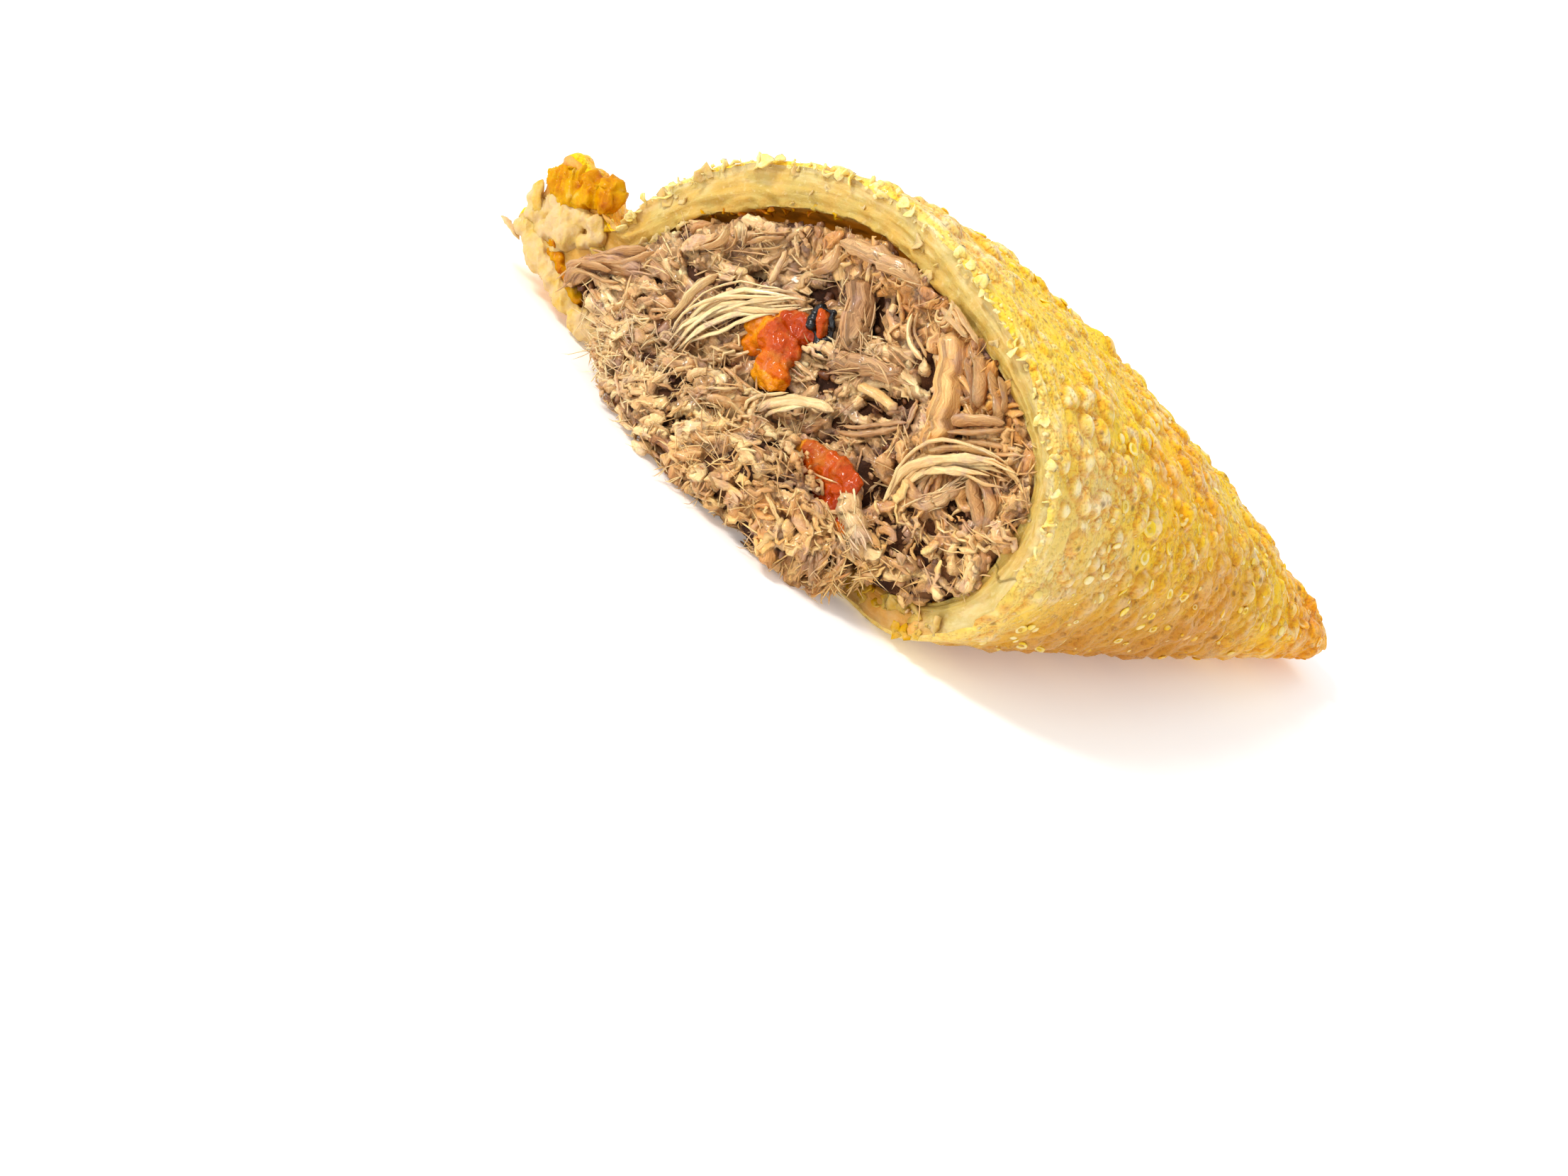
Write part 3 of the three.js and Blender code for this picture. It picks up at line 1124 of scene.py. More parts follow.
@dataclass(frozen=True)
class PepperFinish:
    """Cooked red pepper: wet, red with an orange side and a pale film, partly painted sheen where it faces
    up.
    """

    name: str = "pepper_flesh"
    film: Colour = linear(204, 140, 66)

    def make(self) -> Material:
        """Builds the material.

        Returns:
            The material.
        """
        s = Shader(self.name)
        warm = s.attribute("warm")
        film = s.attribute("film")
        cloud = s.noise(1.4, 3.0, 0.6, 0.5)
        tone = (warm + (cloud - 0.5) * 0.6).within()
        colour = s.ramp(tone, (0.0, linear(160, 44, 0)), (0.35, linear(190, 72, 0)),
                        (0.65, linear(214, 108, 0)), (1.0, linear(234, 156, 20)))
        # The pale film, partly the skin's own and partly painted sheen, is strongest on faces that turn up.
        film_and_sheen_mask = (film + (s.noise(0.6, 3.0) - 0.5) * 1.1).rise(0.4, 0.9)
        colour = s.blend(film_and_sheen_mask * 0.45, colour, self.film)
        normal = s.bump(s.noise(0.6, 4.0, 0.65), 0.34)
        return s.finish(Base_Color=colour, Roughness=film_and_sheen_mask * 0.25 + 0.26, Normal=normal,
                        Subsurface_Weight=0.06, Subsurface_Radius=(1.0, 0.25, 0.1),
                        Subsurface_Scale=0.0006, Coat_Weight=0.45, Coat_Roughness=0.07,
                        Specular_IOR_Level=0.05)


@dataclass(frozen=True)
class CharFinish:
    """Charred skin: black with a blue gloss and tiny pale specks."""

    name: str = "charred_skin"

    def make(self) -> Material:
        """Builds the material.

        Returns:
            The material.
        """
        s = Shader(self.name)
        cloud = s.noise(0.5, 3.0, 0.6)
        colour = s.blend(cloud.rise(0.3, 0.7), linear(3, 4, 6), linear(13, 15, 20))
        specks = (0.16 - s.cells(0.6)).rise(0.0, 0.12)
        colour = s.blend(specks, colour, linear(150, 150, 146))
        normal = s.bump(cloud, 0.12)
        return s.finish(Base_Color=colour, Roughness=cloud * 0.2 + 0.14, Normal=normal,
                        Coat_Weight=0.2, Coat_Roughness=0.06, Specular_IOR_Level=0.3)


@dataclass(frozen=True)
class FloorFinish:
    """A plain pale floor."""

    name: str = "floor"
    glow: float = 0.2

    def make(self) -> Material:
        """Builds the material.

        Returns:
            The material.
        """
        s = Shader(self.name)
        cloud = s.noise(60.0, 2.0)
        colour = s.blend(cloud * 0.2, linear(250, 250, 250), linear(244, 244, 245))
        return s.finish(Base_Color=colour, Roughness=0.9, Emission_Color=linear(255, 250, 246),
                        Emission_Strength=self.glow)


class Finishes:
    """All the finishes, made once."""

    def __init__(self) -> None:
        """Makes each material."""
        self.crust = CrustFinish().make()
        self.blister = BlisterFinish().make()
        self.cut = CutDoughFinish().make()
        self.crumb = CrumbFinish().make()
        self.flake = CrumbFinish("pale_flake", linear(250, 226, 160), linear(244, 206, 108)).make()
        self.meat = MeatFinish().make()
        # The core's colours are darkened to near black: painted shade, so that the gaps between the strands
        # read as shadow.
        self.core = MeatFinish("meat_core", linear(52, 27, 12), linear(84, 48, 24), linear(124, 80, 44),
                               linear(170, 118, 70), rough=0.7, coat=0.0, cool=linear(84, 52, 34)).make()
        self.pepper = PepperFinish().make()
        self.char = CharFinish().make()
        self.floor = FloorFinish().make()


# ---- Soft masses -----------------------------------------------------------------------------------


@dataclass(frozen=True)
class Blob:
    """A rounded lump, from one place to another, with a radius at each end."""

    start: Spot
    end: Spot
    radii: Pair
    tone: float = 0.0
    flat: float = 1.0
    flat_along: Spot = (1.0, 0.0, 0.0)


class Mass:
    """Lumps melted into one closed body, then roughened."""

    def __init__(self, blobs: Sequence[Blob], voxel: float, soften_steps: int = 4) -> None:
        """Melts the lumps together.

        Args:
            blobs: the lumps, in millimetres.
            voxel: the size of the body's faces.
            soften_steps: how often the melted body is smoothed.
        """
        self.blobs = blobs
        points, faces, start = [], [], 0
        for blob in blobs:
            p, f = self._capsule(blob)
            faces += [tuple(i + start for i in g) for g in f]
            points.append(p)
            start += len(p)
        mesh = bpy.data.meshes.new("mass")
        mesh.from_pydata(np.concatenate(points).tolist(), [], faces)
        host = linked("mass", mesh)
        melt = host.modifiers.new("melt", "REMESH")
        melt.mode = "VOXEL"
        melt.voxel_size = voxel
        soften = host.modifiers.new("soften", "SMOOTH")
        soften.iterations = soften_steps
        bpy.context.view_layer.update()
        graph = bpy.context.evaluated_depsgraph_get()
        made = bpy.data.meshes.new_from_object(host.evaluated_get(graph), depsgraph=graph)
        self.points, self.normals = (np.zeros((len(made.vertices), 3)) for _ in range(2))
        made.vertices.foreach_get("co", self.points.ravel())
        made.vertices.foreach_get("normal", self.normals.ravel())
        self.faces = [tuple(f.vertices) for f in made.polygons]
        bpy.data.objects.remove(host)
        bpy.data.meshes.remove(made)

    @staticmethod
    def _capsule(blob: Blob) -> tuple[Array, list[tuple[int, ...]]]:
        """A lump's own mesh.

        Args:
            blob: the lump.

        Returns:
            Its points, and its faces, turned outward.
        """
        start, end = np.array(blob.start, float), np.array(blob.end, float)
        axis = end - start
        length = float(np.linalg.norm(axis))
        along = axis / length if length > 1e-6 else np.array([0.0, 0.0, 1.0])
        side = unit(np.cross(along, [0.31, 0.95, 0.05]))
        third = np.cross(along, side)
        rings, columns = 11, 14
        angle = np.linspace(-math.pi / 2, math.pi / 2, rings)
        turn = np.linspace(0, 2 * math.pi, columns, endpoint=False)
        share = smooth(-0.6, 0.6, angle)
        radius = mix(blob.radii[0], blob.radii[1], share)
        middle = start + np.outer(share, axis) + np.outer(np.sin(angle) * radius, along)
        out = np.cos(angle) * radius
        ring = np.outer(np.cos(turn), side) + np.outer(np.sin(turn), third)
        points = (middle[:, None] + out[:, None, None] * ring[None]).reshape(-1, 3)
        flat = unit(np.array(blob.flat_along, float))
        centre = (start + end) / 2
        points -= np.outer((points - centre) @ flat, flat) * (1 - blob.flat)
        faces = facing_out(points, grid_faces(rings, columns).tolist())
        return points, faces

    def toward(self, direction: Sequence[float]) -> Array:
        """How much each point faces a direction, from -1 to 1."""
        return self.normals @ unit(np.array(direction, float))

    def nearest(self) -> Array:
        """The number of the nearest lump at each point.

        Returns:
            A number for each point.
        """
        share = np.linspace(0, 1, 5)[:, None]
        tree = KDTree(5 * len(self.blobs))
        for number, blob in enumerate(self.blobs):
            for k, spot in enumerate(mix(np.array(blob.start), np.array(blob.end), share)):
                tree.insert(spot.tolist(), 5 * number + k)
        tree.balance()
        return np.array([tree.find(p)[1] // 5 for p in self.points.tolist()])

    def tone(self) -> Array:
        """The tone of the nearest lump at each point."""
        return np.array([blob.tone for blob in self.blobs])[self.nearest()]

    def push(self, heights: Array) -> None:
        """Moves each point along its normal."""
        self.points = self.points + self.normals * heights[:, None]


# ---- The crust -------------------------------------------------------------------------------------


class Shape(Enum):
    """The little shapes that are scattered over a surface."""

    DOME = "dome"
    CRATER = "crater"
    FLAKE = "flake"
    CRUMB = "crumb"


EDGE_STRAY = 0.4 * MM


def little_shape(kind: Shape, seed: int = 0) -> Piece:
    """Makes a closed little shape with a radius of 1, for a tree to scatter.

    Args:
        kind: which shape.
        seed: the number that its unevenness comes from.

    Returns:
        The object, with its height kept as lift from 0 to 1.
    """
    columns = 12 if kind in (Shape.DOME, Shape.CRATER) else 8
    profile = {
        Shape.DOME: [(0.02, -0.3), (0.8, -0.25), (1.0, -0.04), (0.93, 0.3), (0.7, 0.66), (0.36, 0.92),
                     (0.02, 1.0)],
        Shape.CRATER: [(0.02, -0.3), (0.9, -0.25), (1.0, 0.0), (0.88, 0.5), (0.66, 0.62), (0.42, 0.2),
                       (0.02, 0.06)],
        Shape.FLAKE: [(0.02, -0.1), (0.85, -0.16), (1.0, 0.02), (0.8, 0.14), (0.02, 0.1)],
        Shape.CRUMB: [(0.02, -0.8), (0.7, -0.6), (1.0, 0.0), (0.65, 0.62), (0.02, 0.8)],
    }[kind]
    rng = np.random.default_rng(seed)
    turn = np.linspace(0, 2 * math.pi, columns, endpoint=False)
    wobble = {Shape.DOME: 0.07, Shape.CRATER: 0.1, Shape.FLAKE: 0.42, Shape.CRUMB: 0.4}[kind]
    points, lift = [], []
    rim = 1 + wobble * rng.uniform(-1, 1, columns)
    for radius, height in profile:
        r = radius * rim * (1 + 0.3 * wobble * rng.uniform(-1, 1, columns))
        z = height + 0.25 * wobble * rng.uniform(-1, 1, columns)
        if kind is Shape.FLAKE:
            z = z + 0.35 * (r * np.cos(turn)) ** 2
        points.append(np.stack([r * np.cos(turn), r * np.sin(turn), z], 1))
        lift += [max(height, 0.0) if kind is Shape.DOME else max(height, 0.0) * 1.5] * columns
    lift += [0.0, max(profile[-1][1], 0.0)]
    body, faces = ringed_body(points, (0, 0, profile[0][1]), (0, 0, profile[-1][1]))
    mesh = bpy.data.meshes.new(kind.value)
    mesh.from_pydata(body.tolist(), [], faces)
    store(mesh, "lift", np.array(lift))
    return linked(kind.value, mesh)


def scatter_recipe(name: str, on_faces: bool) -> Recipe:
    """The tree that scatters a little shape.

    Args:
        name: the tree's name.
        on_faces: whether over faces, or along the host's edges.

    Returns:
        The tree.
    """
    kinds = {"Shape": "Object", "Distance": "Float", "Density": "Float", "Small": "Float",
             "Large": "Float", "Height": "Float", "Tumble": "Float", "Sink": "Float", "Seed": "Int",
             "Pitch": "Float", "Relief": "Float", "Material": "Material"}
    r = Recipe(name, kinds)
    host = r.input("Geometry")
    if on_faces:
        spread = r.add("GeometryNodeDistributePointsOnFaces", {"distribute_method": "POISSON"},
                       {"Mesh": host, "Distance Min": r.input("Distance"), "Density Max": r.input("Density"),
                        "Density Factor": r.named("dense"), "Seed": r.input("Seed")})
    else:
        line = r.value("GeometryNodeMeshToCurve", {}, {"Mesh": host})
        spread = r.add("GeometryNodeCurveToPoints", {"mode": "LENGTH"},
                       {"Curve": line, "Length": r.input("Distance")})
    normal = Value(r, spread.outputs["Normal"])
    points = Value(r, spread.outputs["Points"])
    if not on_faces:
        stray = r.value("FunctionNodeRandomValue", {"data_type": "FLOAT_VECTOR"},
                        {0: (-EDGE_STRAY,) * 3, 1: (EDGE_STRAY,) * 3, 8: 31})
        points = r.value("GeometryNodeSetPosition", {}, {"Geometry": points, "Offset": stray})
    draw = r.random(0.0, 1.0, 3)
    size = r.input("Small") + (r.input("Large") - r.input("Small")) * draw**2.6
    upright = r.value("FunctionNodeAlignRotationToVector", {"axis": "Z"}, {"Vector": normal})
    euler = r.triple_random(r.input("Tumble"))
    turned = r.value("FunctionNodeRotateRotation", {"rotation_space": "LOCAL"},
                     {0: upright, 1: r.value("FunctionNodeEulerToRotation", {}, {0: euler})})
    wide = size * r.random(0.75, 1.15, 7)
    tall = size * r.input("Height") * r.random(0.6, 1.15, 8)
    scale = r.value("ShaderNodeCombineXYZ", {}, {0: size, 1: wide, 2: tall})
    shape = r.value("GeometryNodeObjectInfo", {"transform_space": "ORIGINAL"},
                    {"Object": r.input("Shape")}, "Geometry")
    drop = r.value("ShaderNodeVectorMath", {"operation": "SCALE"},
                   {0: normal, 3: size * r.input("Sink") * -1.0})
    sunk = r.value("GeometryNodeSetPosition", {}, {"Geometry": points, "Offset": drop})
    placed = r.value("GeometryNodeInstanceOnPoints", {},
                     {"Points": sunk, "Instance": shape, "Rotation": turned, "Scale": scale})
    solid = r.value("GeometryNodeRealizeInstances", {}, {"Geometry": placed})
    rough = r.roughen(solid, r.input("Pitch"), r.input("Relief"))
    r.close(rough, r.input("Material"))
    return r


@dataclass(frozen=True)
class Grains:
    """How one kind of little shape is scattered: its sizes in millimetres, its turns in radians."""

    distance: float
    sizes: Pair
    height: float
    density: float = 0.0
    tumble: float = 1.6
    sink: float = 0.0
    seed: int = 0
    pitch: float = 2200.0
    relief: float = 0.2

    def make(self, recipe: Recipe, host: Piece, name: str, shape: Piece, finish: Material) -> Piece:
        """Scatters the shape over a host.

        Args:
            recipe: the tree that scatters.
            host: the faces or the line that it is scattered over; it is removed.
            name: the new piece's name.
            shape: the little shape.
            finish: the piece's finish.

        Returns:
            The piece.
        """
        small, large = self.sizes
        inputs = {"Shape": shape, "Distance": self.distance * MM, "Density": self.density,
                  "Small": small * MM, "Large": large * MM, "Height": self.height, "Tumble": self.tumble,
                  "Sink": self.sink, "Seed": self.seed, "Pitch": self.pitch, "Relief": self.relief * MM,
                  "Material": finish}
        return recipe.make(host, name, inputs)


@dataclass
class Crust:
    """The dough shell: dome, rim and belly, the cut through it, and its blisters."""

    section: Section
    finishes: Finishes
    stations: int = 372
    near_stations: int = 190
    dome_columns: int = 338
    belly_columns: int = 70
    band_columns: int = 84
    corner_start: float = 74.0
    corner_round: float = 1.7
    corner_rings: int = 7
    wall_rows: int = 16
    large_blisters: int = 3600
    blister_radii: Pair = (0.36, 1.45)
    blister_rise: Pair = (0.3, 0.6)
    blister_rarity: float = 3.6
    blister_reach: float = 1.5
    blister_outline: Pair = (1.04, 0.14)
    crowding: Pair = (0.72, 0.28)
    seam_columns: tuple[int, int] = (6, 8)
    seeds: tuple[int, int] = (11, 23)
    golden_patches: tuple[tuple[Spot, float], ...] = (
        ((30.0, 13.1, 23.2), 4.5), ((23.5, 7.2, 22.2), 4.0), ((38.0, 1.5, 9.1), 6.0))
    large_bump: Spot = (29.0, 23.5, 25.5)
    large_bump_size: Pair = (1.1, 1.5)
    roughness: tuple[tuple[float, float, int], ...] = (
        (0.42, 13.0, 1), (0.24, 5.5, 2), (0.12, 2.1, 2), (0.07, 0.9, 2))
    crease_pitch: float = 2.2
    crease_depth: float = 0.34
    vein_pitch: float = 1.5
    vein_depth: float = 0.14
    streak_depth: float = 0.2
    edge_shares: tuple[float, ...] = (1.0, 0.62, 0.34, 0.14)
    edge_inset: float = 0.5
    lowest: float = 0.04
    cut_bulge: float = 0.12
    torn_depth: float = 0.42
    inner_step: float = 0.5
    soft_span: int = 12
    hollow_relief: float = 0.3
    hollow_tone: float = 0.9
    hollow_depths: tuple[float, ...] = (
        0.5, 1.3, 2.4, 4.0, 6.0, 9.0, 13.0, 18.0, 24.0, 32.0, 42.0, 52.0, 58.0)
    small_blisters: tuple[tuple[Shape, str, Grains], ...] = (
        (Shape.DOME, "_blisters", Grains(1.1, (0.16, 0.6), 0.42, 2.2e5, 0.12, 0.06, 3, 2600.0, 0.07)),
        (Shape.CRATER, "_craters", Grains(1.9, (0.3, 0.85), 0.4, 7.0e4, 0.12, 0.06, 4, 2600.0, 0.07)))
    edge_grains: tuple[tuple[int, Shape, Grains], ...] = (
        (0, Shape.FLAKE, Grains(0.85, (0.2, 0.75), 1.2, seed=0)),
        (3, Shape.CRUMB, Grains(1.3, (0.12, 0.4), 0.8, seed=1)))
    edge_trim: int = 4
    cut_grains: Grains = Grains(0.6, (0.25, 1.1), 1.4, 1.4e6, 0.7, 0.0, 8, 1800.0, 0.25)

    def __post_init__(self) -> None:
        """Works out the displaced grid that all the pieces share."""
        self.noise = Unevenness(self.seeds[0])
        self.rng = np.random.default_rng(self.seeds[1])
        self.grid = self._plain_grid()
        self.normals = self._normals(self.grid)
        self.attributes = self._relief()
        self.normals = self._normals(self.grid)

    def _plain_grid(self) -> Array:
        """The smooth outside, as rows of sections from the cut to the corner.

        Returns:
            The points, by row and column.
        """
        s = np.linspace(0, 1, self.stations)
        even, rising = self.crowding
        xs = self.corner_start * np.sin((even * s + rising * s * s) * math.pi / 2)
        before, after = self.seam_columns
        rows = []
        for x in xs:
            size = self.section.sizes(float(x))
            edge = 0.05 * float(self.noise(np.array([x, 3.0, 5.0]), 4.0, 2))
            lift = 0.35 * float(self.noise(np.array([x, 31.0, 5.0]), 6.0, 2))
            belly = resample(self.section.belly(size), self.belly_columns)
            band = resample(self.section.band(size, (edge, lift)), self.band_columns)
            dome = resample(self.section.dome(size)[::-1], self.dome_columns)
            ring = np.concatenate([belly, band, dome])
            low, high = self.belly_columns - before, self.belly_columns + self.band_columns + after
            for _ in range(3):
                part = ring[low - 1 : high + 1]
                ring[low:high] = (part[:-2] + 2 * part[1:-1] + part[2:]) / 4
            rows.append(np.column_stack([np.full(len(ring), x), ring]))
        last = rows[-1]
        centre = last.mean(0)
        for k in range(1, self.corner_rings + 1):
            angle = k / (self.corner_rings + 0.4) * math.pi / 2
            ring = mix(centre, last, math.cos(angle))
            ring[:, 0] = self.corner_start + self.corner_round * math.sin(angle)
            rows.append(ring)
        return np.array(rows)

    def _normals(self, grid: Array) -> Array:
        """Outward normals of a grid of sections.

        Args:
            grid: the points, by row and column.

        Returns:
            A normal for each point.
        """
        along = np.gradient(grid, axis=0)
        around = np.roll(grid, -1, 1) - np.roll(grid, 1, 1)
        normals = unit(np.cross(along, around))
        out = grid - grid.mean(1, keepdims=True)
        if float(np.sum(normals * out)) < 0:
            normals = -normals
        return normals

    def region(self) -> tuple[Array, Array]:
        """How much each column belongs to the rim, and to the dome.

        Returns:
            Two shares for each column, from 0 to 1.
        """
        columns = np.arange(self.grid.shape[1])
        start, end = self.belly_columns, self.belly_columns + self.band_columns
        rim = smooth(start - 8, start + 2, columns) * (1 - smooth(end - 4, end + 14, columns))
        dome = smooth(end - 2, end + 6, columns)
        return rim, dome

    def _brownness(self) -> Array:
        """How far each place has fried, from 0, pale, to 1, with painted shade added on the crown.

        Returns:
            The number for each point.
        """
        p = self.grid
        x, y, z = p[..., 0], p[..., 1], p[..., 2]
        rim = self.region()[0]
        brown = 0.04 + 0.3 * smooth(2, 28, x) + 0.26 * smooth(46, 75, x)
        # The rise towards the crown, z from 20 to 29, is painted shade: it darkens the top, where the lamps
        # fall strongest.
        brown += 0.24 * smooth(17, 4, z) * smooth(3, 16, x) + 0.12 * smooth(20, 29, z)
        brown = mix(brown, 0.7 + 0.12 * smooth(30, 75, x), rim[None])
        brown += 0.22 * bell((x - 36) / 9, 1.0) * bell((z - 22) / 9, 1.0) * smooth(34, 10, y)
        for place, reach in self.golden_patches:
            brown += 0.3 * bell(np.linalg.norm(p - place, axis=-1), reach)
        brown += 0.18 * self.noise(p, 15.0, 2) + 0.12 * self.noise(p, 5.0, 2)
        return np.clip(brown, 0, 1)

    def _relief(self) -> dict[str, Array]:
        """Roughens the grid and raises its blisters.

        Returns:
            The numbers kept at each point.
        """
        p = self.grid
        x, y, z = p[..., 0], p[..., 1], p[..., 2]
        dome = self.region()[1]
        height = sum(tall * self.noise(p, pitch, octaves) for tall, pitch, octaves in self.roughness)
        skew = np.stack([(x + 0.9 * z) / 1.0, (y - 0.6 * x) / 3.2, (z - 0.7 * x) / 3.0], -1)
        creases = self.noise.ridges(skew, self.crease_pitch)
        height += self.crease_depth * (creases - 0.3) * smooth(34, 62, x) * dome[None]
        bloom = smooth(0.1, 0.8, self.noise(p, 9.0) + 0.35)
        height += self.vein_depth * self.noise.ridges(p, self.vein_pitch) * bloom
        near = smooth(11, 2, x) * dome[None]
        streak = self.noise(p * (1.6, 0.28, 0.28), 1.0, 2)
        height += self.streak_depth * streak * near
        rise, top, ring = self._blisters(p)
        tall, reach = self.large_bump_size
        height += rise + tall * bell(np.linalg.norm(p - self.large_bump, axis=-1), reach)
        height = height * mix(0.25, 1.0, smooth(0.1, 3.0, z))
        self.grid = p + self.normals * height[..., None]
        jag = 0.5 * self.noise(p[0], 1.3, 2) + 0.3 * self.noise(p[0], 0.5)
        for row, share in enumerate(self.edge_shares):
            self.grid[row, :, 0] -= share * jag
            self.grid[row] -= self.normals[row] * self.edge_inset * share
        self.grid[..., 2] = np.maximum(self.grid[..., 2], self.lowest * (1 + self.noise(p, 2.0)))
        dense = np.clip(0.5 + 0.5 * self.noise(p, 8.0, 2), 0.05, 1) * mix(0.15, 1.0, smooth(1, 8, x))
        dense = dense * smooth(1.2, 2.6, z)
        top = np.maximum(top, smooth(0.1, 0.7, streak) * near * 0.8)
        under = 0.95 * smooth(21, 6, z) * smooth(1, 12, x) * smooth(20, 6, y) * smooth(62, 38, x)
        return {"brown": self._brownness(), "blister": top, "ring": ring, "dense": dense, "under": under}

    def _blisters(self, p: Array) -> tuple[Array, Array, Array]:
        """Raises large blisters.

        Args:
            p: the smooth grid.

        Returns:
            The height, how near a blister's top, and how near its edge each point is.
        """
        along = np.linalg.norm(np.gradient(p, axis=0), axis=-1)
        around = np.linalg.norm(np.roll(p, -1, 1) - p, axis=-1)
        share = along * around * mix(0.5, 1.0, smooth(0.3, 0.0, -self.noise(p, 10.0)))
        share[-self.corner_rings - 2 :] = 0
        share *= mix(0.2, 1.0, smooth(1.2, 4.5, p[..., 0]))
        share *= smooth(0.2, 3.0, p[..., 2])
        share = (share / share.sum()).ravel()
        picks = self.rng.choice(share.size, self.large_blisters, replace=False, p=share)
        height, top, ring = (np.zeros(p.shape[:2]) for _ in range(3))
        outline, width = self.blister_outline
        for pick in picks:
            i, j = divmod(int(pick), p.shape[1])
            radius = mix(*self.blister_radii, float(self.rng.random()) ** self.blister_rarity)
            tall = radius * float(self.rng.uniform(*self.blister_rise))
            wi = int(self.blister_reach * radius / max(along[i, j], 0.05)) + 1
            wj = int(self.blister_reach * radius / max(around[i, j], 0.05)) + 1
            rows = np.arange(max(0, i - wi), min(p.shape[0], i + wi + 1))
            columns = np.arange(j - wj, j + wj + 1) % p.shape[1]
            spot = np.ix_(rows, columns)
            away = np.linalg.norm(p[spot] - p[i, j], axis=-1)
            away = away * (1 + 0.16 * self.noise(p[spot], radius * 1.3)) / radius
            bump = np.clip(1 - away**2, 0, 1)
            height[spot] = np.maximum(height[spot], tall * bump**0.6)
            height[spot] -= 0.1 * tall * bell(away - 1.12, width)
            top[spot] = np.maximum(top[spot], smooth(0.15, 0.8, bump))
            ring[spot] = np.maximum(ring[spot], bell(away - outline, width))
        return height, top, ring

    def _strip(self, name: str, first: int, last: int, rows: slice = slice(None)) -> Piece:
        """A piece from some columns of the grid, with its rounded end if it reaches the corner.

        Args:
            name: the piece's name.
            first, last: its columns; last may run past the end, and closes on the first.
            rows: its rows.

        Returns:
            The piece.
        """
        columns = np.arange(first, last + 1) % self.grid.shape[1]
        wide = len(columns)
        points = self.grid[rows][:, columns].reshape(-1, 3)
        normals = self.normals[rows][:, columns].reshape(-1, 3)
        faces = grid_faces(len(points) // wide, wide, False).tolist()
        attributes = {key: values[rows][:, columns].ravel() for key, values in self.attributes.items()}
        if rows.stop is None:
            end = len(points) - wide
            faces += [[end + c, len(points), end + c + 1] for c in range(wide - 1)]
            points = np.vstack([points, self.grid[-1].mean(0) + (0.05, 0, 0)])
            normals = np.vstack([normals, [1.0, 0.0, 0.0]])
            attributes = {key: np.append(values, values[-1]) for key, values in attributes.items()}
        middle = len(faces) // 3
        faces = turned(points, faces, middle, normals[faces[middle][0]])
        made = piece(name, points, faces, attributes, self.finishes.crust)
        made.data.normals_split_custom_set_from_vertices(normals.tolist())
        return made

    def shell(self) -> list[Piece]:
        """The outside, as the dome's two halves, rim and belly.

        Returns:
            The four pieces.
        """
        start, end = self.belly_columns, self.belly_columns + self.band_columns
        total, half = self.grid.shape[1], self.near_stations
        return [self._strip("dough_dome_near", end, total, slice(0, half + 1)),
                self._strip("dough_dome_far", end, total, slice(half, None)),
                self._strip("dough_rim", start, end), self._strip("dough_belly", 0, start)]

    def _hollow_ring(self, x: float) -> Array:
        """The hollow's section, with the shell's number of points.

        Args:
            x: the distance from the cut.

        Returns:
            Its points.
        """
        counts = (self.belly_columns, self.band_columns, self.dome_columns)
        flat = np.concatenate([resample(part, n) for part, n in zip(self.section.hollow(x), counts)])
        return np.column_stack([np.full(len(flat), x), flat])

    def _cut_rows(self) -> tuple[list[Array], list[float], list[float]]:
        """Rows of points from the cut's outer edge to its inner one, and on into the hollow.

        Returns:
            The rows, how far across the cut each one is, and how deep in the hollow, from 0 to 1.
        """
        outer = self.grid[0]
        plain = self._hollow_ring(0.0)
        inner = plain.copy()
        inner[:, 0] += 0.25 * self.noise(inner, 1.0, 2)
        inner[:, 1:] += 0.18 * np.stack([self.noise(inner + 9, 0.9), self.noise(inner + 19, 0.9)], 1)
        spans = [np.roll(outer, k, 0) for k in range(-self.soft_span, self.soft_span + 1)]
        soft = np.mean(spans, axis=0) * (0, 1, 1)
        rows, across, deep = [outer], [0.0], [0.0]
        for k in range(1, self.wall_rows + 1):
            s = k / self.wall_rows
            row = mix(soft, plain, s) + (outer - soft) * (1 - smooth(0, 0.35, s))
            row += (inner - plain) * smooth(0.6, 1.0, s)
            spread = np.column_stack([np.full(len(row), s * 5), row[:, 1] / 5, row[:, 2] / 5])
            steps = self.noise(spread, 1.0, 3)
            swell = math.sin(math.pi * s) ** 0.5 if s < 1 else 0.0
            row[:, 0] += (self.cut_bulge + self.torn_depth * steps) * swell + self.inner_step * s**3
            row[:, 0] += self.cut_bulge * self.noise(row, 0.8, 2) * swell
            rows.append(row)
            across.append(s)
            deep.append(0.0)
        for x in self.hollow_depths:
            row = self._hollow_ring(x)
            shift = np.stack([self.noise(row + 5, 2.5, 2), self.noise(row + 15, 2.5, 2)], 1)
            row[:, 1:] += self.hollow_relief * shift
            rows.append(row)
            across.append(1.0)
            deep.append(float(smooth(0.2, 3.5, x)) * self.hollow_tone)
        return rows, across, deep

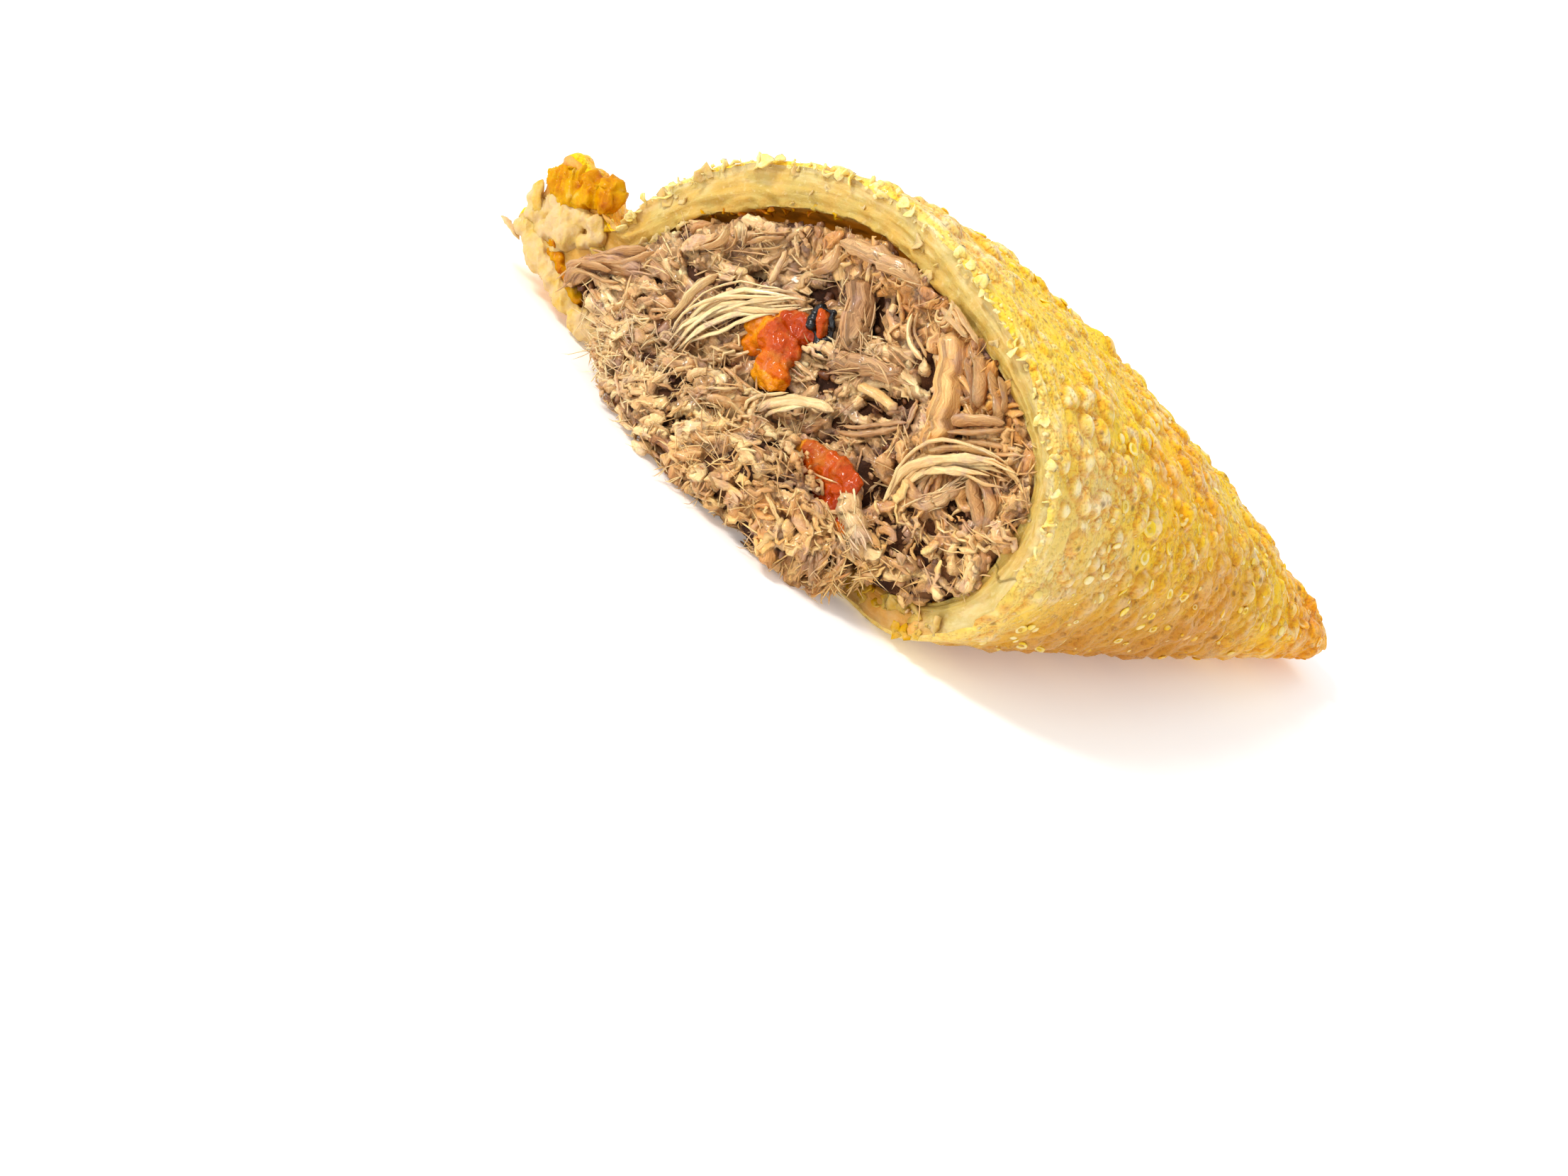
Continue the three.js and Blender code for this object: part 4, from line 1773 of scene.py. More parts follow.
    def _fried(self, points: Array, deep: Array) -> dict[str, Array]:
        """How fried the cut is, and how thickly flakes lie on it: most at the lip and the knot.

        Args:
            points: the cut's points.
            deep: how deep in the hollow each one is, from 0 to 1.

        Returns:
            The numbers for each point, by name.
        """
        spots = points[:, 1:]
        knot = smooth(54, 60, spots[:, 0]) * mix(0.35, 0.9, smooth(6, 10, spots[:, 1]))
        lip = 0.6 * smooth(5.5, 2.5, spots[:, 1])
        fried = np.clip(knot + lip + 0.35 * self.noise(points, 2.5, 2) * (knot + lip), 0, 1)
        inside = (deep > 0.01) * (deep < 0.85) * bell(spots[:, 0] - 46, 11) * smooth(12, 16, spots[:, 1])
        brown = np.clip(0.12 + 0.5 * fried + 0.8 * inside, 0, 1)
        dense = (deep < 0.01) * np.clip(0.1 + lip * 1.4 + knot * 0.6, 0, 1) * smooth(1.4, 2.2, spots[:, 1])
        return {"fried": fried, "brown": brown, "dense": dense + 0.7 * inside}

    def cut(self) -> Piece:
        """The cut through the dough and the hollow behind it.

        Returns:
            The piece.
        """
        rows, across, deep = self._cut_rows()
        outer, count = rows[0], len(rows[0])
        points = np.concatenate(rows + [rows[-1].mean(0, keepdims=True)])
        faces = grid_faces(len(rows), count).tolist()
        end = (len(rows) - 1) * count
        faces += [[end + c, len(points) - 1, end + (c + 1) % count] for c in range(count)]
        run = np.cumsum(np.linalg.norm(np.roll(outer, -1, 0) - outer, axis=1))
        attributes = {"across": np.append(np.repeat(across, count), 1.0),
                      "deep": np.append(np.repeat(deep, count), 1.0),
                      "along": np.append(np.tile(run, len(rows)), 0.0)}
        attributes.update(self._fried(points, attributes["deep"]))
        faces = turned(points, faces, self.wall_rows * count // 2, (-1.0, 0.0, 0.0))
        return piece("dough_cut", points, faces, attributes, self.finishes.cut)

    def blisters(self, shell: Sequence[Piece]) -> list[Piece]:
        """Small blisters over the shell.

        Args:
            shell: the dome, the rim and the belly.

        Returns:
            One piece of domes and one of broken ones for each.
        """
        recipe = scatter_recipe("blisters", True)
        shapes = {kind: little_shape(kind, 5) for kind in (Shape.DOME, Shape.CRATER)}
        made = []
        for surface in shell:
            for kind, ending, grains in self.small_blisters:
                host = linked("host", surface.data.copy())
                finish = self.finishes.blister
                made.append(grains.make(recipe, host, surface.name + ending, shapes[kind], finish))
        for shape in shapes.values():
            bpy.data.objects.remove(shape)
        return made

    def edge_flakes(self) -> list[Piece]:
        """Flakes along the cut's outer edge, and crumbs a little behind it.

        Returns:
            A piece of flakes and a piece of crumbs.
        """
        recipe = scatter_recipe("edge_flakes", False)
        made = []
        start = self.belly_columns + self.band_columns + self.edge_trim
        for number, (row, kind, grains) in enumerate(self.edge_grains):
            path = self.grid[row][start : -self.edge_trim]
            mesh = bpy.data.meshes.new("host")
            mesh.from_pydata((path * MM + ZERO).tolist(), [(i, i + 1) for i in range(len(path) - 1)], [])
            store(mesh, "brown", np.full(len(path), 0.12))
            host = linked("host", mesh)
            shape = little_shape(kind, 9 + number)
            made.append(grains.make(recipe, host, "edge_" + kind.value + "s", shape, self.finishes.flake))
            bpy.data.objects.remove(shape)
        return made

    def wall_crumbs(self, wall: Piece) -> Piece:
        """Torn flakes over the cut, most of them at its lower lip and its knot.

        Args:
            wall: the cut.

        Returns:
            The flakes.
        """
        host = linked("host", wall.data.copy())
        shape = little_shape(Shape.FLAKE, 21)
        recipe = scatter_recipe("wall_crumbs", True)
        made = self.cut_grains.make(recipe, host, "cut_crumbs", shape, self.finishes.crumb)
        bpy.data.objects.remove(shape)
        return made

    def build(self) -> list[Piece]:
        """Makes all the dough's pieces.

        Returns:
            The pieces.
        """
        shell = self.shell()
        wall = self.cut()
        pieces = shell + [wall] + self.blisters(shell) + self.edge_flakes() + [self.wall_crumbs(wall)]
        for made in pieces:
            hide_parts("crust")
        return pieces


# ---- The knot --------------------------------------------------------------------------------------


@dataclass
class Knot:
    """The fried crumbly knot at the cut's rim end, and the thin torn dough under it."""

    finishes: Finishes
    voxel: float = 0.17
    crumble: float = 0.55
    lumps: tuple[Ball, ...] = (
        (0.8, 66.0, 11.0, 1.1), (0.8, 64.6, 11.6, 1.2), (0.7, 62.8, 12.2, 1.2), (0.7, 60.8, 13.3, 1.0),
        (0.4, 60.1, 12.3, 1.2), (0.3, 62.2, 11.2, 1.5), (0.3, 64.2, 10.4, 1.6), (0.4, 66.0, 10.0, 1.3),
        (0.7, 67.0, 10.2, 0.9), (0.5, 65.2, 11.3, 1.2), (1.3, 63.0, 11.8, 1.3), (1.5, 65.6, 10.6, 1.2))
    pale_lumps: tuple[Ball, ...] = (
        (0.0, 68.1, 8.2, 0.4), (0.0, 67.2, 7.4, 1.0), (0.2, 66.2, 6.4, 1.4), (0.4, 65.0, 8.6, 1.3),
        (0.2, 63.2, 8.2, 1.6), (0.2, 64.4, 5.6, 1.3), (0.2, 61.8, 7.0, 1.5), (0.0, 61.4, 9.4, 1.1),
        (0.0, 59.6, 9.7, 1.1), (0.2, 58.6, 8.9, 0.9), (0.4, 62.4, 5.2, 1.2))
    fingers: tuple[tuple[Pair, ...], ...] = (
        ((69.2, 4.0), (67.4, 3.9), (66.0, 3.4)), ((67.4, 9.6), (66.6, 8.2), (65.4, 6.6)))
    flap: tuple[Pair, ...] = ((66.2, 5.2), (63.6, 4.0), (59.6, 2.6), (55.0, 1.8), (50.2, 1.4))
    flap_balls: int = 34
    flap_stray: float = 0.2
    lip_radii: Pair = (0.65, 1.25)
    lip_front: float = -0.4
    stain_radii: Pair = (0.4, 0.7)
    stain_shift: Spot = (0.2, -0.7, 1.15)
    seeds: tuple[int, int] = (77, 5)

    def _lump(self, name: str, places: Sequence[Ball], crumble: float,
              brown: float, soften: int = 1) -> Piece:
        """A crumbly lump melted from balls.

        Args:
            name: the piece's name.
            places: each ball's place and radius.
            crumble: how uneven it is.
            brown: how far it has fried.
            soften: how often it is smoothed.

        Returns:
            The piece.
        """
        noise = Unevenness(self.seeds[0])
        blobs = []
        for (x, y, z, r), (u, v, w, _) in zip(places, places[1:] + places[-1:]):
            end = tuple(mix(a, b, 0.35) for a, b in ((x, u), (y, v), (z, w)))
            blobs.append(Blob((x, y, z), end, (r, r * 0.75)))
        mass = Mass(blobs, self.voxel, soften)
        drawn = mass.points @ np.array([[1, 0, 0], [0, 0.8, 0.18], [0, -0.6, 0.24]])
        mass.push(crumble * (0.7 * noise(mass.points, 1.3, 3) + 0.7 * noise.ridges(drawn, 0.6)))
        tone = brown + (0.3 * brown + 0.1) * noise(mass.points, 1.8, 2) + 0.06 * noise(mass.points, 1.2)
        return piece(name, mass.points, mass.faces, {"brown": np.clip(tone, 0, 1)}, self.finishes.crumb)

    def build(self) -> list[Piece]:
        """Makes the knot, the fingers of dough and the flap.

        Returns:
            The pieces.
        """
        rng = np.random.default_rng(self.seeds[1])
        flat = resample(curved(np.array(self.flap)), self.flap_balls, True)
        flat += rng.normal(0, self.flap_stray, flat.shape)
        lip = [(self.lip_front, float(y), float(z), float(rng.uniform(*self.lip_radii))) for y, z in flat]
        back, across, up = self.stain_shift
        stain = [(x + back, y + across, z + up, float(rng.uniform(*self.stain_radii)))
                 for x, y, z, _ in lip[3:20]]
        pieces = [self._lump("knot", self.lumps, self.crumble, 0.62),
                  self._lump("knot_pale", self.pale_lumps, 0.5 * self.crumble, 0.1, 9),
                  self._lump("knot_lip", tuple(lip), 0.6 * self.crumble, 0.14, 7),
                  self._lump("knot_stain", tuple(stain), 0.9 * self.crumble, 0.74)]
        paths = Paths()
        for number, line in enumerate(self.fingers):
            flat = resample(curved(np.array(line)), 12, True)
            path = np.column_stack([-0.5 - 0.4 * np.sin(np.linspace(0, 3, 12)), flat])
            paths.add(path, 0.36 + 0.05 * number, 0.02 + 0.3 * (number % 2), 0.0, 0.4 * number, 6.0)
        inputs = {"Sides": 12, "Lobes": 3.0, "Lobe Depth": 0.26, "Flatness": 0.55, "Relief": 0.6,
                  "Pitch": 1300.0, "Material": self.finishes.crumb}
        pieces.append(strand_recipe().make(paths.host(), "knot_fingers", inputs))
        for made in pieces:
            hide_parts("crust")
        return pieces


# ---- The filling -----------------------------------------------------------------------------------


class Cut(Enum):
    """The kinds of shredded meat."""

    CHUNK = "chunk"
    SHRED = "shred"
    STRAND = "strand"
    RIBBON = "ribbon"
    FUZZ = "fuzz"


@dataclass(frozen=True)
class Profile:
    """The section of one kind of strand."""

    name: str
    sides: int
    lobes: float
    lobe_depth: float
    flatness: float
    relief: float
    pitch: float


PROFILES = {
    Cut.CHUNK: Profile("chunks", 24, 7.0, 0.1, 0.75, 0.2, 1300.0),
    Cut.SHRED: Profile("shreds", 5, 0.0, 0.0, 0.6, 0.0, 2500.0),
    Cut.STRAND: Profile("strands", 8, 2.0, 0.18, 0.7, 0.16, 1800.0),
    Cut.RIBBON: Profile("ribbons", 10, 3.0, 0.2, 0.34, 0.3, 1500.0),
    Cut.FUZZ: Profile("fuzz", 3, 0.0, 0.0, 1.0, 0.0, 1000.0),
}


def strand_recipe() -> Recipe:
    """The tree that turns paths into strands of meat.

    Returns:
        The tree.
    """
    kinds = {"Sides": "Int", "Lobes": "Float", "Lobe Depth": "Float", "Flatness": "Float",
             "Relief": "Float", "Pitch": "Float", "Material": "Material"}
    r = Recipe("strands", kinds)
    line = r.value("GeometryNodeMeshToCurve", {}, {"Mesh": r.input("Geometry")})
    reach = r.value("GeometryNodeSplineParameter", {}, {}, "Length")
    line = r.keep(line, "along", reach * 1000.0)
    line = r.value("GeometryNodeSetCurveTilt", {}, {"Curve": line, "Tilt": r.named("tilt")})
    ring = r.value("GeometryNodeCurvePrimitiveCircle", {"mode": "RADIUS"},
                   {"Resolution": r.input("Sides"), "Radius": 1.0})
    turn = r.value("GeometryNodeSplineParameter", {}, {}, "Factor")
    ring = r.keep(ring, "around", turn)
    lobe = (turn * r.input("Lobes") * (2 * math.pi)).math("COSINE") * r.input("Lobe Depth") + 1.0
    spot = r.value("GeometryNodeInputPosition")
    spot = r.value("ShaderNodeVectorMath", {"operation": "SCALE"}, {0: spot, 3: lobe})
    flat = r.value("ShaderNodeCombineXYZ", {}, {0: 1.0, 1: r.input("Flatness"), 2: 1.0})
    spot = r.vector("MULTIPLY", spot, flat)
    ring = r.value("GeometryNodeSetPosition", {}, {"Geometry": ring, "Position": spot})
    tube = r.value("GeometryNodeCurveToMesh", {},
                   {"Curve": line, "Profile Curve": ring, "Scale": r.named("thick"), "Fill Caps": True})
    tube = r.roughen(tube, r.input("Pitch"), r.input("Relief") * MM)
    r.close(tube, r.input("Material"))
    return r


class Paths:
    """Paths that strands follow, with a thickness at each point."""

    LOWEST = 0.25
    FORWARD = -12.2
    RAGGED = 0.14

    def __init__(self) -> None:
        """Starts with none."""
        self.points: list[Array] = []
        self.thick: list[Array] = []
        self.numbers: dict[str, list[float]] = {"tint": [], "gold": [], "tilt": [], "brown": []}
        self.rng = np.random.default_rng(19)

    def add(self, path: Array, thick: float, tint: float, gold: float = 0.0, tilt: float = 0.0,
            blunt: float = 4.0) -> None:
        """Keeps a path, above the table.

        Args:
            path: its points, in millimetres.
            thick: the radius at its middle.
            tint: how light the strand is, from 0 to 1.
            gold: how golden it is, from 0 to 1.
            tilt: how far its section is turned, in radians.
            blunt: how square its ends are; 1 is a point.
        """
        s = np.linspace(-1, 1, len(path))
        taper = np.maximum(1 - np.abs(s) ** blunt, 0.0) ** 0.6
        taper = taper * (1 + self.rng.normal(0, self.RAGGED * min(1.0, 0.4 / thick), len(path)))
        path = np.array(path, float)
        path[:, 2] = np.maximum(path[:, 2], self.LOWEST + thick)
        path[:, 0] = np.maximum(path[:, 0], self.FORWARD + thick)
        self.points.append(path)
        self.thick.append(np.maximum(thick * taper, 0.12 * thick))
        for key, value in {"tint": tint, "gold": gold, "brown": tint}.items():
            self.numbers[key].append(float(np.clip(value, 0, 1)))
        self.numbers["tilt"].append(tilt)

    def host(self) -> Piece:
        """The paths as a mesh of edges, for a tree to work on.

        Returns:
            The object.
        """
        mesh = bpy.data.meshes.new("paths")
        edges, start = [], 0
        for path in self.points:
            edges += [(start + k, start + k + 1) for k in range(len(path) - 1)]
            start += len(path)
        mesh.from_pydata((np.concatenate(self.points) * MM + ZERO).tolist(), edges, [])
        lengths = [len(path) for path in self.points]
        store(mesh, "thick", np.concatenate(self.thick) * MM)
        for key, values in self.numbers.items():
            store(mesh, key, np.repeat(values, lengths))
        return linked("paths", mesh)


@dataclass(frozen=True)
class Laid:
    """A strand, or several side by side, laid in a place of its own on the filling's face.

    On a chunk the copies are the torn fibres that lie along it.
    """

    kind: Cut
    line: tuple[Pair, ...]
    radius: float
    tint: float
    gold: float = 0.0
    lift: float = 0.8
    arch: float = 0.0
    copies: int = 1
    spread: float = 0.0
    blunt: float = 6.0


LAID = (
    Laid(Cut.CHUNK, ((20.4, 26.0), (18.4, 23.5), (16.8, 20.6), (15.7, 18.0), (14.9, 16.0)), 1.55, 0.8, 0.6,
         1.1, 0.1, 7, 0.0, 14.0),
    Laid(Cut.STRAND, ((22.5, 27.4), (20.2, 27.4), (16.6, 27.2)), 0.4, 0.72, 0.2, 0.9, 0.2, 3, 0.5),
    Laid(Cut.STRAND, ((24.9, 25.4), (24.0, 23.3), (22.3, 21.9)), 0.36, 0.74, 0.2, 0.9, 0.2, 2, 0.4),
    Laid(Cut.RIBBON, ((42.1, 6.9), (42.0, 10.4), (40.0, 13.9), (36.9, 16.6), (34.4, 18.8)), 0.3, 0.95, 0.15,
         0.8, 0.3, 9, 1.3, 3.0),
    Laid(Cut.STRAND, ((42.4, 6.8), (42.8, 10.2), (41.0, 14.2), (37.8, 17.2), (34.6, 19.2)), 0.15, 1.0, 0.1,
         1.0, 0.4, 5, 1.2, 3.0),
    Laid(Cut.RIBBON, ((45.5, 8.0), (44.4, 10.6), (44.8, 13.6), (43.6, 15.9)), 0.45, 0.8, 0.2, 0.9, 0.6,
         2, 0.5),
    Laid(Cut.STRAND, ((25.5, 16.3), (22.6, 17.0), (19.7, 17.2)), 0.52, 0.92, 0.55, 1.5, 0.0, 1, 0.0, 40.0),
    Laid(Cut.RIBBON, ((18.6, 26.4), (15.4, 24.8), (13.0, 21.1)), 0.8, 0.55, 0.25, 0.8, 0.2, 2, 0.6),
    Laid(Cut.RIBBON, ((14.6, 26.0), (12.0, 24.6), (10.8, 22.6)), 0.65, 0.6, 0.3, 0.7, 0.2, 2, 0.5),
    Laid(Cut.RIBBON, ((15.2, 18.9), (11.9, 21.2), (8.0, 24.0)), 0.75, 0.55, 0.25, 1.1, 0.2, 2, 0.5),
    Laid(Cut.STRAND, ((13.8, 18.4), (10.2, 20.5), (6.4, 22.6)), 0.42, 0.66, 0.3, 1.0, 0.2, 2, 0.4),
    Laid(Cut.RIBBON, ((15.0, 9.6), (14.9, 11.3), (15.0, 13.8), (13.4, 16.7), (9.8, 19.2), (6.6, 20.5),
                      (4.2, 21.6)), 0.4, 0.88, 0.35, 1.0, 0.3, 7, 1.1, 3.0),
    Laid(Cut.RIBBON, ((13.7, 16.3), (10.1, 18.1), (5.4, 20.2)), 0.4, 0.86, 0.4, 1.1, 0.3, 4, 0.9, 3.0),
    Laid(Cut.RIBBON, ((10.1, 18.2), (7.6, 16.6), (5.7, 14.4)), 0.8, 0.62, 0.3, 0.9, 0.3, 2, 0.5),
    Laid(Cut.CHUNK, ((12.8, 11.9), (11.3, 14.3), (10.5, 16.0)), 0.9, 0.62, 0.1, 1.0, 0.0, 18),
    Laid(Cut.RIBBON, ((29.4, 9.0), (29.6, 10.4), (27.2, 12.5), (24.7, 13.4)), 0.42, 0.84, 0.2, 1.2, 0.4,
         2, 0.4),
    Laid(Cut.RIBBON, ((34.2, 7.7), (33.2, 8.9), (32.2, 10.2)), 0.5, 0.86, 0.2, 1.1, 0.3, 2, 0.4),
    Laid(Cut.RIBBON, ((30.8, 8.6), (30.7, 10.5), (28.0, 13.2)), 0.42, 0.82, 0.2, 1.1, 0.5, 2, 0.4),
    Laid(Cut.CHUNK, ((31.4, 23.6), (29.8, 21.6), (27.6, 19.6)), 1.6, 0.34, 0.0, 0.4, 0.2, 34),
    Laid(Cut.CHUNK, ((29.6, 15.6), (26.4, 17.7), (22.0, 19.8)), 1.3, 0.38, 0.0, 0.4, 0.2, 26),
    Laid(Cut.CHUNK, ((35.2, 25.2), (30.9, 26.6), (26.2, 27.4)), 1.1, 0.55, 0.1, 0.6, 0.2, 18),
    Laid(Cut.CHUNK, ((60.6, 6.0), (56.6, 7.4), (51.2, 10.4)), 1.2, 0.4, 0.1, 0.9, 0.2, 22),
    Laid(Cut.RIBBON, ((61.4, 5.2), (57.4, 6.2), (52.0, 8.4)), 0.7, 0.62, 0.2, 1.3, 0.4, 2, 0.5),
    Laid(Cut.RIBBON, ((59.4, 8.0), (55.8, 9.8), (51.4, 12.4)), 0.7, 0.5, 0.2, 1.0, 0.4, 2, 0.5),
    Laid(Cut.RIBBON, ((37.2, 5.9), (32.2, 6.9), (28.2, 8.0)), 0.5, 0.78, 0.2, 1.2, 0.3, 2, 0.5),
    Laid(Cut.CHUNK, ((18.3, 9.4), (16.4, 8.0), (13.6, 7.0)), 1.15, 0.84, 0.15, 1.3, 0.0, 24, 0.0, 14.0),
    Laid(Cut.STRAND, ((24.9, 12.0), (21.2, 14.2), (18.6, 16.9)), 0.5, 0.55, 0.1, 0.9, 0.2, 2, 0.4),
    Laid(Cut.RIBBON, ((43.9, 18.9), (41.6, 20.7), (40.4, 22.6)), 0.5, 0.66, 0.2, 0.8, 0.4, 3, 0.7),
    Laid(Cut.RIBBON, ((47.2, 15.5), (45.8, 17.6), (46.0, 19.4)), 0.45, 0.66, 0.2, 0.8, 0.4, 3, 0.7),
    Laid(Cut.RIBBON, ((37.0, 20.7), (35.0, 22.6), (35.6, 24.8)), 0.5, 0.6, 0.2, 0.8, 0.4, 3, 0.7),
)


@dataclass
class Filling:
    """The shredded meat: an uneven core, dark as painted shade for the gaps, and bundles and strands of meat
    on its face.
    """

    section: Section
    finishes: Finishes
    ring_points: int = 200
    face_rings: int = 56
    clearance: float = 0.3
    face_lip: float = 0.3
    lumps: int = 740
    lump_lengths: Pair = (1.8, 8.0)
    lump_radii: Pair = (0.32, 1.1)
    lump_lifts: Pair = (-0.6, 0.95)
    standing_share: float = 0.16
    standing_lifts: Pair = (-0.6, 1.3)
    edge_lumps: int = 150
    edge_lengths: Pair = (1.0, 4.0)
    lump_voxel: float = 0.275
    loose_shreds: int = 1000
    loose: tuple[tuple[Cut, int, Pair, Pair], ...] = (
        (Cut.STRAND, 260, (2.0, 7.5), (0.1, 0.36)), (Cut.RIBBON, 380, (1.6, 6.5), (0.2, 0.62)))
    tufts: int = 170
    shred_lengths: Pair = (0.9, 3.2)
    shred_radii: Pair = (0.04, 0.13)
    torn_lengths: Pair = (1.4, 3.8)
    torn_radii: Pair = (0.07, 0.17)
    fuzz_lengths: Pair = (0.6, 2.3)
    fuzz_radii: Pair = (0.03, 0.08)
    laid_points: int = 16
    seeds: tuple[int, int] = (41, 7)
    keep_clear: tuple[Spot, ...] = (
        (35.0, 14.2, 1.3), (32.6, 12.1, 0.9), (33.4, 16.4, 1.1), (21.6, 9.2, 1.2), (18.9, 7.8, 1.2),
        (31.6, 18.4, 1.2))
    face_centre: Pair = (31.0, 12.0)
    face_across: Pair = (2.6, 61.0)
    face_up: Pair = (3.6, 29.0)
    spill_share: float = 0.34
    runs: Pair = (-0.64, 0.87)
    toward_front: Spot = (-0.93, -0.3, 0.2)
    loop_place: Pair = (21.7, 27.2)
    loops: tuple[Pair, ...] = ((1.25, 0.24), (1.0, 0.3), (0.75, 0.16))
    grains: Grains = Grains(0.9, (0.2, 0.65), 0.9, 6.0e5, 1.6, -0.3, 5, 2500.0, 0.2)
    depths: tuple[float, ...] = (1.0, 2.5, 4.5, 7.0, 10.0, 15.0, 21.0, 28.0, 36.0, 46.0, 57.7)
    paths: dict[Cut, Paths] = field(default_factory=lambda: {kind: Paths() for kind in Cut})

    def __post_init__(self) -> None:
        """Sets up the unevenness and the draws."""
        self.noise = Unevenness(self.seeds[0])
        self.rng = np.random.default_rng(self.seeds[1])
        roof = self.section.hollow(0.0)[2]
        self.roof = roof[np.argsort(roof[:, 0])]

    def draw(self, low: float, high: float) -> float:
        """A random number between low and high."""
        return float(self.rng.uniform(low, high))

    def stray(self, spread: float, middle: float = 0.0) -> float:
        """A random number that strays from a middle."""
        return float(self.rng.normal(middle, spread))

    def _ring(self, x: float, gap: float) -> Array:
        """The filling's section at a depth.

        Args:
            x: the distance from the cut.
            gap: how much lower it is under the crown.

        Returns:
            Its points.
        """
        parts = self.section.hollow(x, self.clearance, gap)
        line = np.concatenate([parts[0][:-1], parts[1][:-1], parts[2]])
        flat = resample(np.vstack([line, line[:1]]), self.ring_points)
        return np.column_stack([np.full(len(flat), x), flat])

    def core(self) -> tuple[Array, list[Any]]:
        """The core's points and faces, from the middle of its face to its far end.

        Returns:
            The points and the faces.
        """
        rim = self._ring(0.0, self.section.air_gap)
        middle = rim.mean(0)
        rows = []
        for k in range(1, self.face_rings + 1):
            s = (k / (self.face_rings + 1)) ** 0.8
            row = mix(middle, rim, s)
            dent = 0.9 * self.noise(row * (0, 1, 1), 3.2, 3) + 0.3
            row[:, 0] = -self.section.face_stand(row[:, 1], row[:, 2]) + dent * smooth(1.0, 0.9, s)
            rows.append(row)
        edge = rim.copy()
        stand = self.section.face_stand(rim[:, 1], rim[:, 2])
        edge[:, 0] = np.maximum(0, self.face_lip - stand)
        rows.append(edge)
        for x in self.depths:
            gap = self.section.air_gap * float(bell(x, self.section.air_length))
            row = self._ring(x, gap)
            row[:, 0] = np.maximum(row[:, 0], edge[:, 0] + 0.01 * x)
            row[:, 1:] += 0.12 * np.stack([self.noise(row, 2.0), self.noise(row + 9, 2.0)], 1)
            rows.append(row)
        front = (-float(self.section.face_stand(middle[1], middle[2])), *middle[1:])
        return ringed_body(rows, front, rows[-1].mean(0))

    def spill(self) -> tuple[Array, list[Any]]:
        """The part that has slumped out over the lower lip.

        Returns:
            The points and the faces.
        """
        rows, columns = 40, 72
        angle = np.linspace(0.03, math.pi - 0.03, rows)
        turn = np.linspace(0, 2 * math.pi, columns, endpoint=False)
        a, b = np.meshgrid(angle, turn, indexing="ij")
        ball = np.stack([np.sin(a) * np.cos(b), np.cos(a), np.sin(a) * np.sin(b)], -1).reshape(-1, 3)
        points = ball * self.section.spill_radii + self.section.spill_centre
        lump = 0.8 * self.section.lumps(points[:, 1], points[:, 2]) + 0.8 * self.noise(points, 3.0, 3)
        points = points + ball * (lump[:, None] - 0.6)
        points[:, 2] = np.maximum(points[:, 2], self.section.spill_lowest)
        rings = points.reshape(rows, columns, 3)
        return ringed_body(rings, rings[0].mean(0), rings[-1].mean(0))

    def lay_surface(self) -> list[Piece]:
        """Makes the core and the spill, and the surface that strands lie on.

        Returns:
            The two pieces.
        """
        made, points, faces = [], [], []
        for name, (p, f) in {"meat_core": self.core(), "meat_spill": self.spill()}.items():
            start = sum(len(q) for q in points)
            faces += [tuple(int(i) + start for i in g) for g in f]
            points.append(p)
            # Low tints on the core and the spill, under the dark core finish: painted shade in the gaps.
            tint = 0.12 + 0.25 * self.noise(p, 1.6, 2)
            attributes = {"tint": np.clip(tint, 0, 1), "along": p[:, 1] + p[:, 2] * 0.4,
                          "around": p[:, 2] / 12, "thick": np.full(len(p), 0.002),
                          "gold": np.full(len(p), 0.1), "dense": 1.0 * (p[:, 0] < 2.5) * (p[:, 2] > 1.4)}
            made.append(piece(name, p, f, attributes, self.finishes.core))
        self.tree = BVHTree.FromPolygons(np.concatenate(points).tolist(), faces)
        return made

    def seen(self, y: float, z: float) -> tuple[Vector | None, Vector | None]:
        """What of the surface is seen from the cut's front at y and z: the place and its normal."""
        return self.tree.ray_cast(Vector((-30.0, y, z)), Vector((1.0, 0.0, 0.0)))[:2]

    def on_face(self, y: float, z: float) -> Vector:
        """The place on the surface at y and z, or else the nearest one to the cut there."""
        spot = self.seen(y, z)[0]
        return self.tree.find_nearest(Vector((-2.0, y, z)))[0] if spot is None else spot

    def tint_at(self, spot: Sequence[float]) -> float:
        """How light the meat is at a place: golden-tan low down and by the fold, greyer above.

        Args:
            spot: the place.

        Returns:
            The tint, from 0 to 1.
        """
        _, y, z = spot
        low = float(smooth(13, 3, z))
        middle = float(bell(math.hypot(y - 33, z - 20), 8))
        return 0.49 + 0.14 * low + 0.1 * float(smooth(20, 8, y)) + 0.12 * middle

    def walk(self, spot: Vector, heading: Vector, length: float, steps: int, wander: float,
             lift: float, curl: float = 0.0) -> Array:
        """Follows the surface.

        Args:
            spot: the middle of the path.
            heading: its direction there.
            length: how long it is.
            steps: how many points it has.
            wander: how much it strays.
            lift: how far off the surface it lies at its middle.
            curl: how far its ends rise.

        Returns:
            The path's points.
        """
        halves = []
        step = length / (steps - 1)
        bend = self.stray(wander)
        for sign in (1.0, -1.0):
            at, way = spot.copy(), heading * sign
            half = []
            for k in range((steps + 1) // 2):
                near, normal, _, _ = self.tree.find_nearest(at)
                way = way - normal * way.dot(normal)
                if way.length < 1e-6:
                    way = normal.orthogonal()
                way.normalize()
                turn = bend * sign + self.stray(wander * 0.5)
                way = Quaternion(normal, turn) @ way
                s = k / (steps / 2)
                half.append(near + normal * (lift * (1 - 0.5 * s * s) + curl * s**2.5))
                at = near + way * step
            halves.append(half)
        path = list(reversed(halves[1][1:])) + halves[0]
        return np.array([list(p) for p in path])

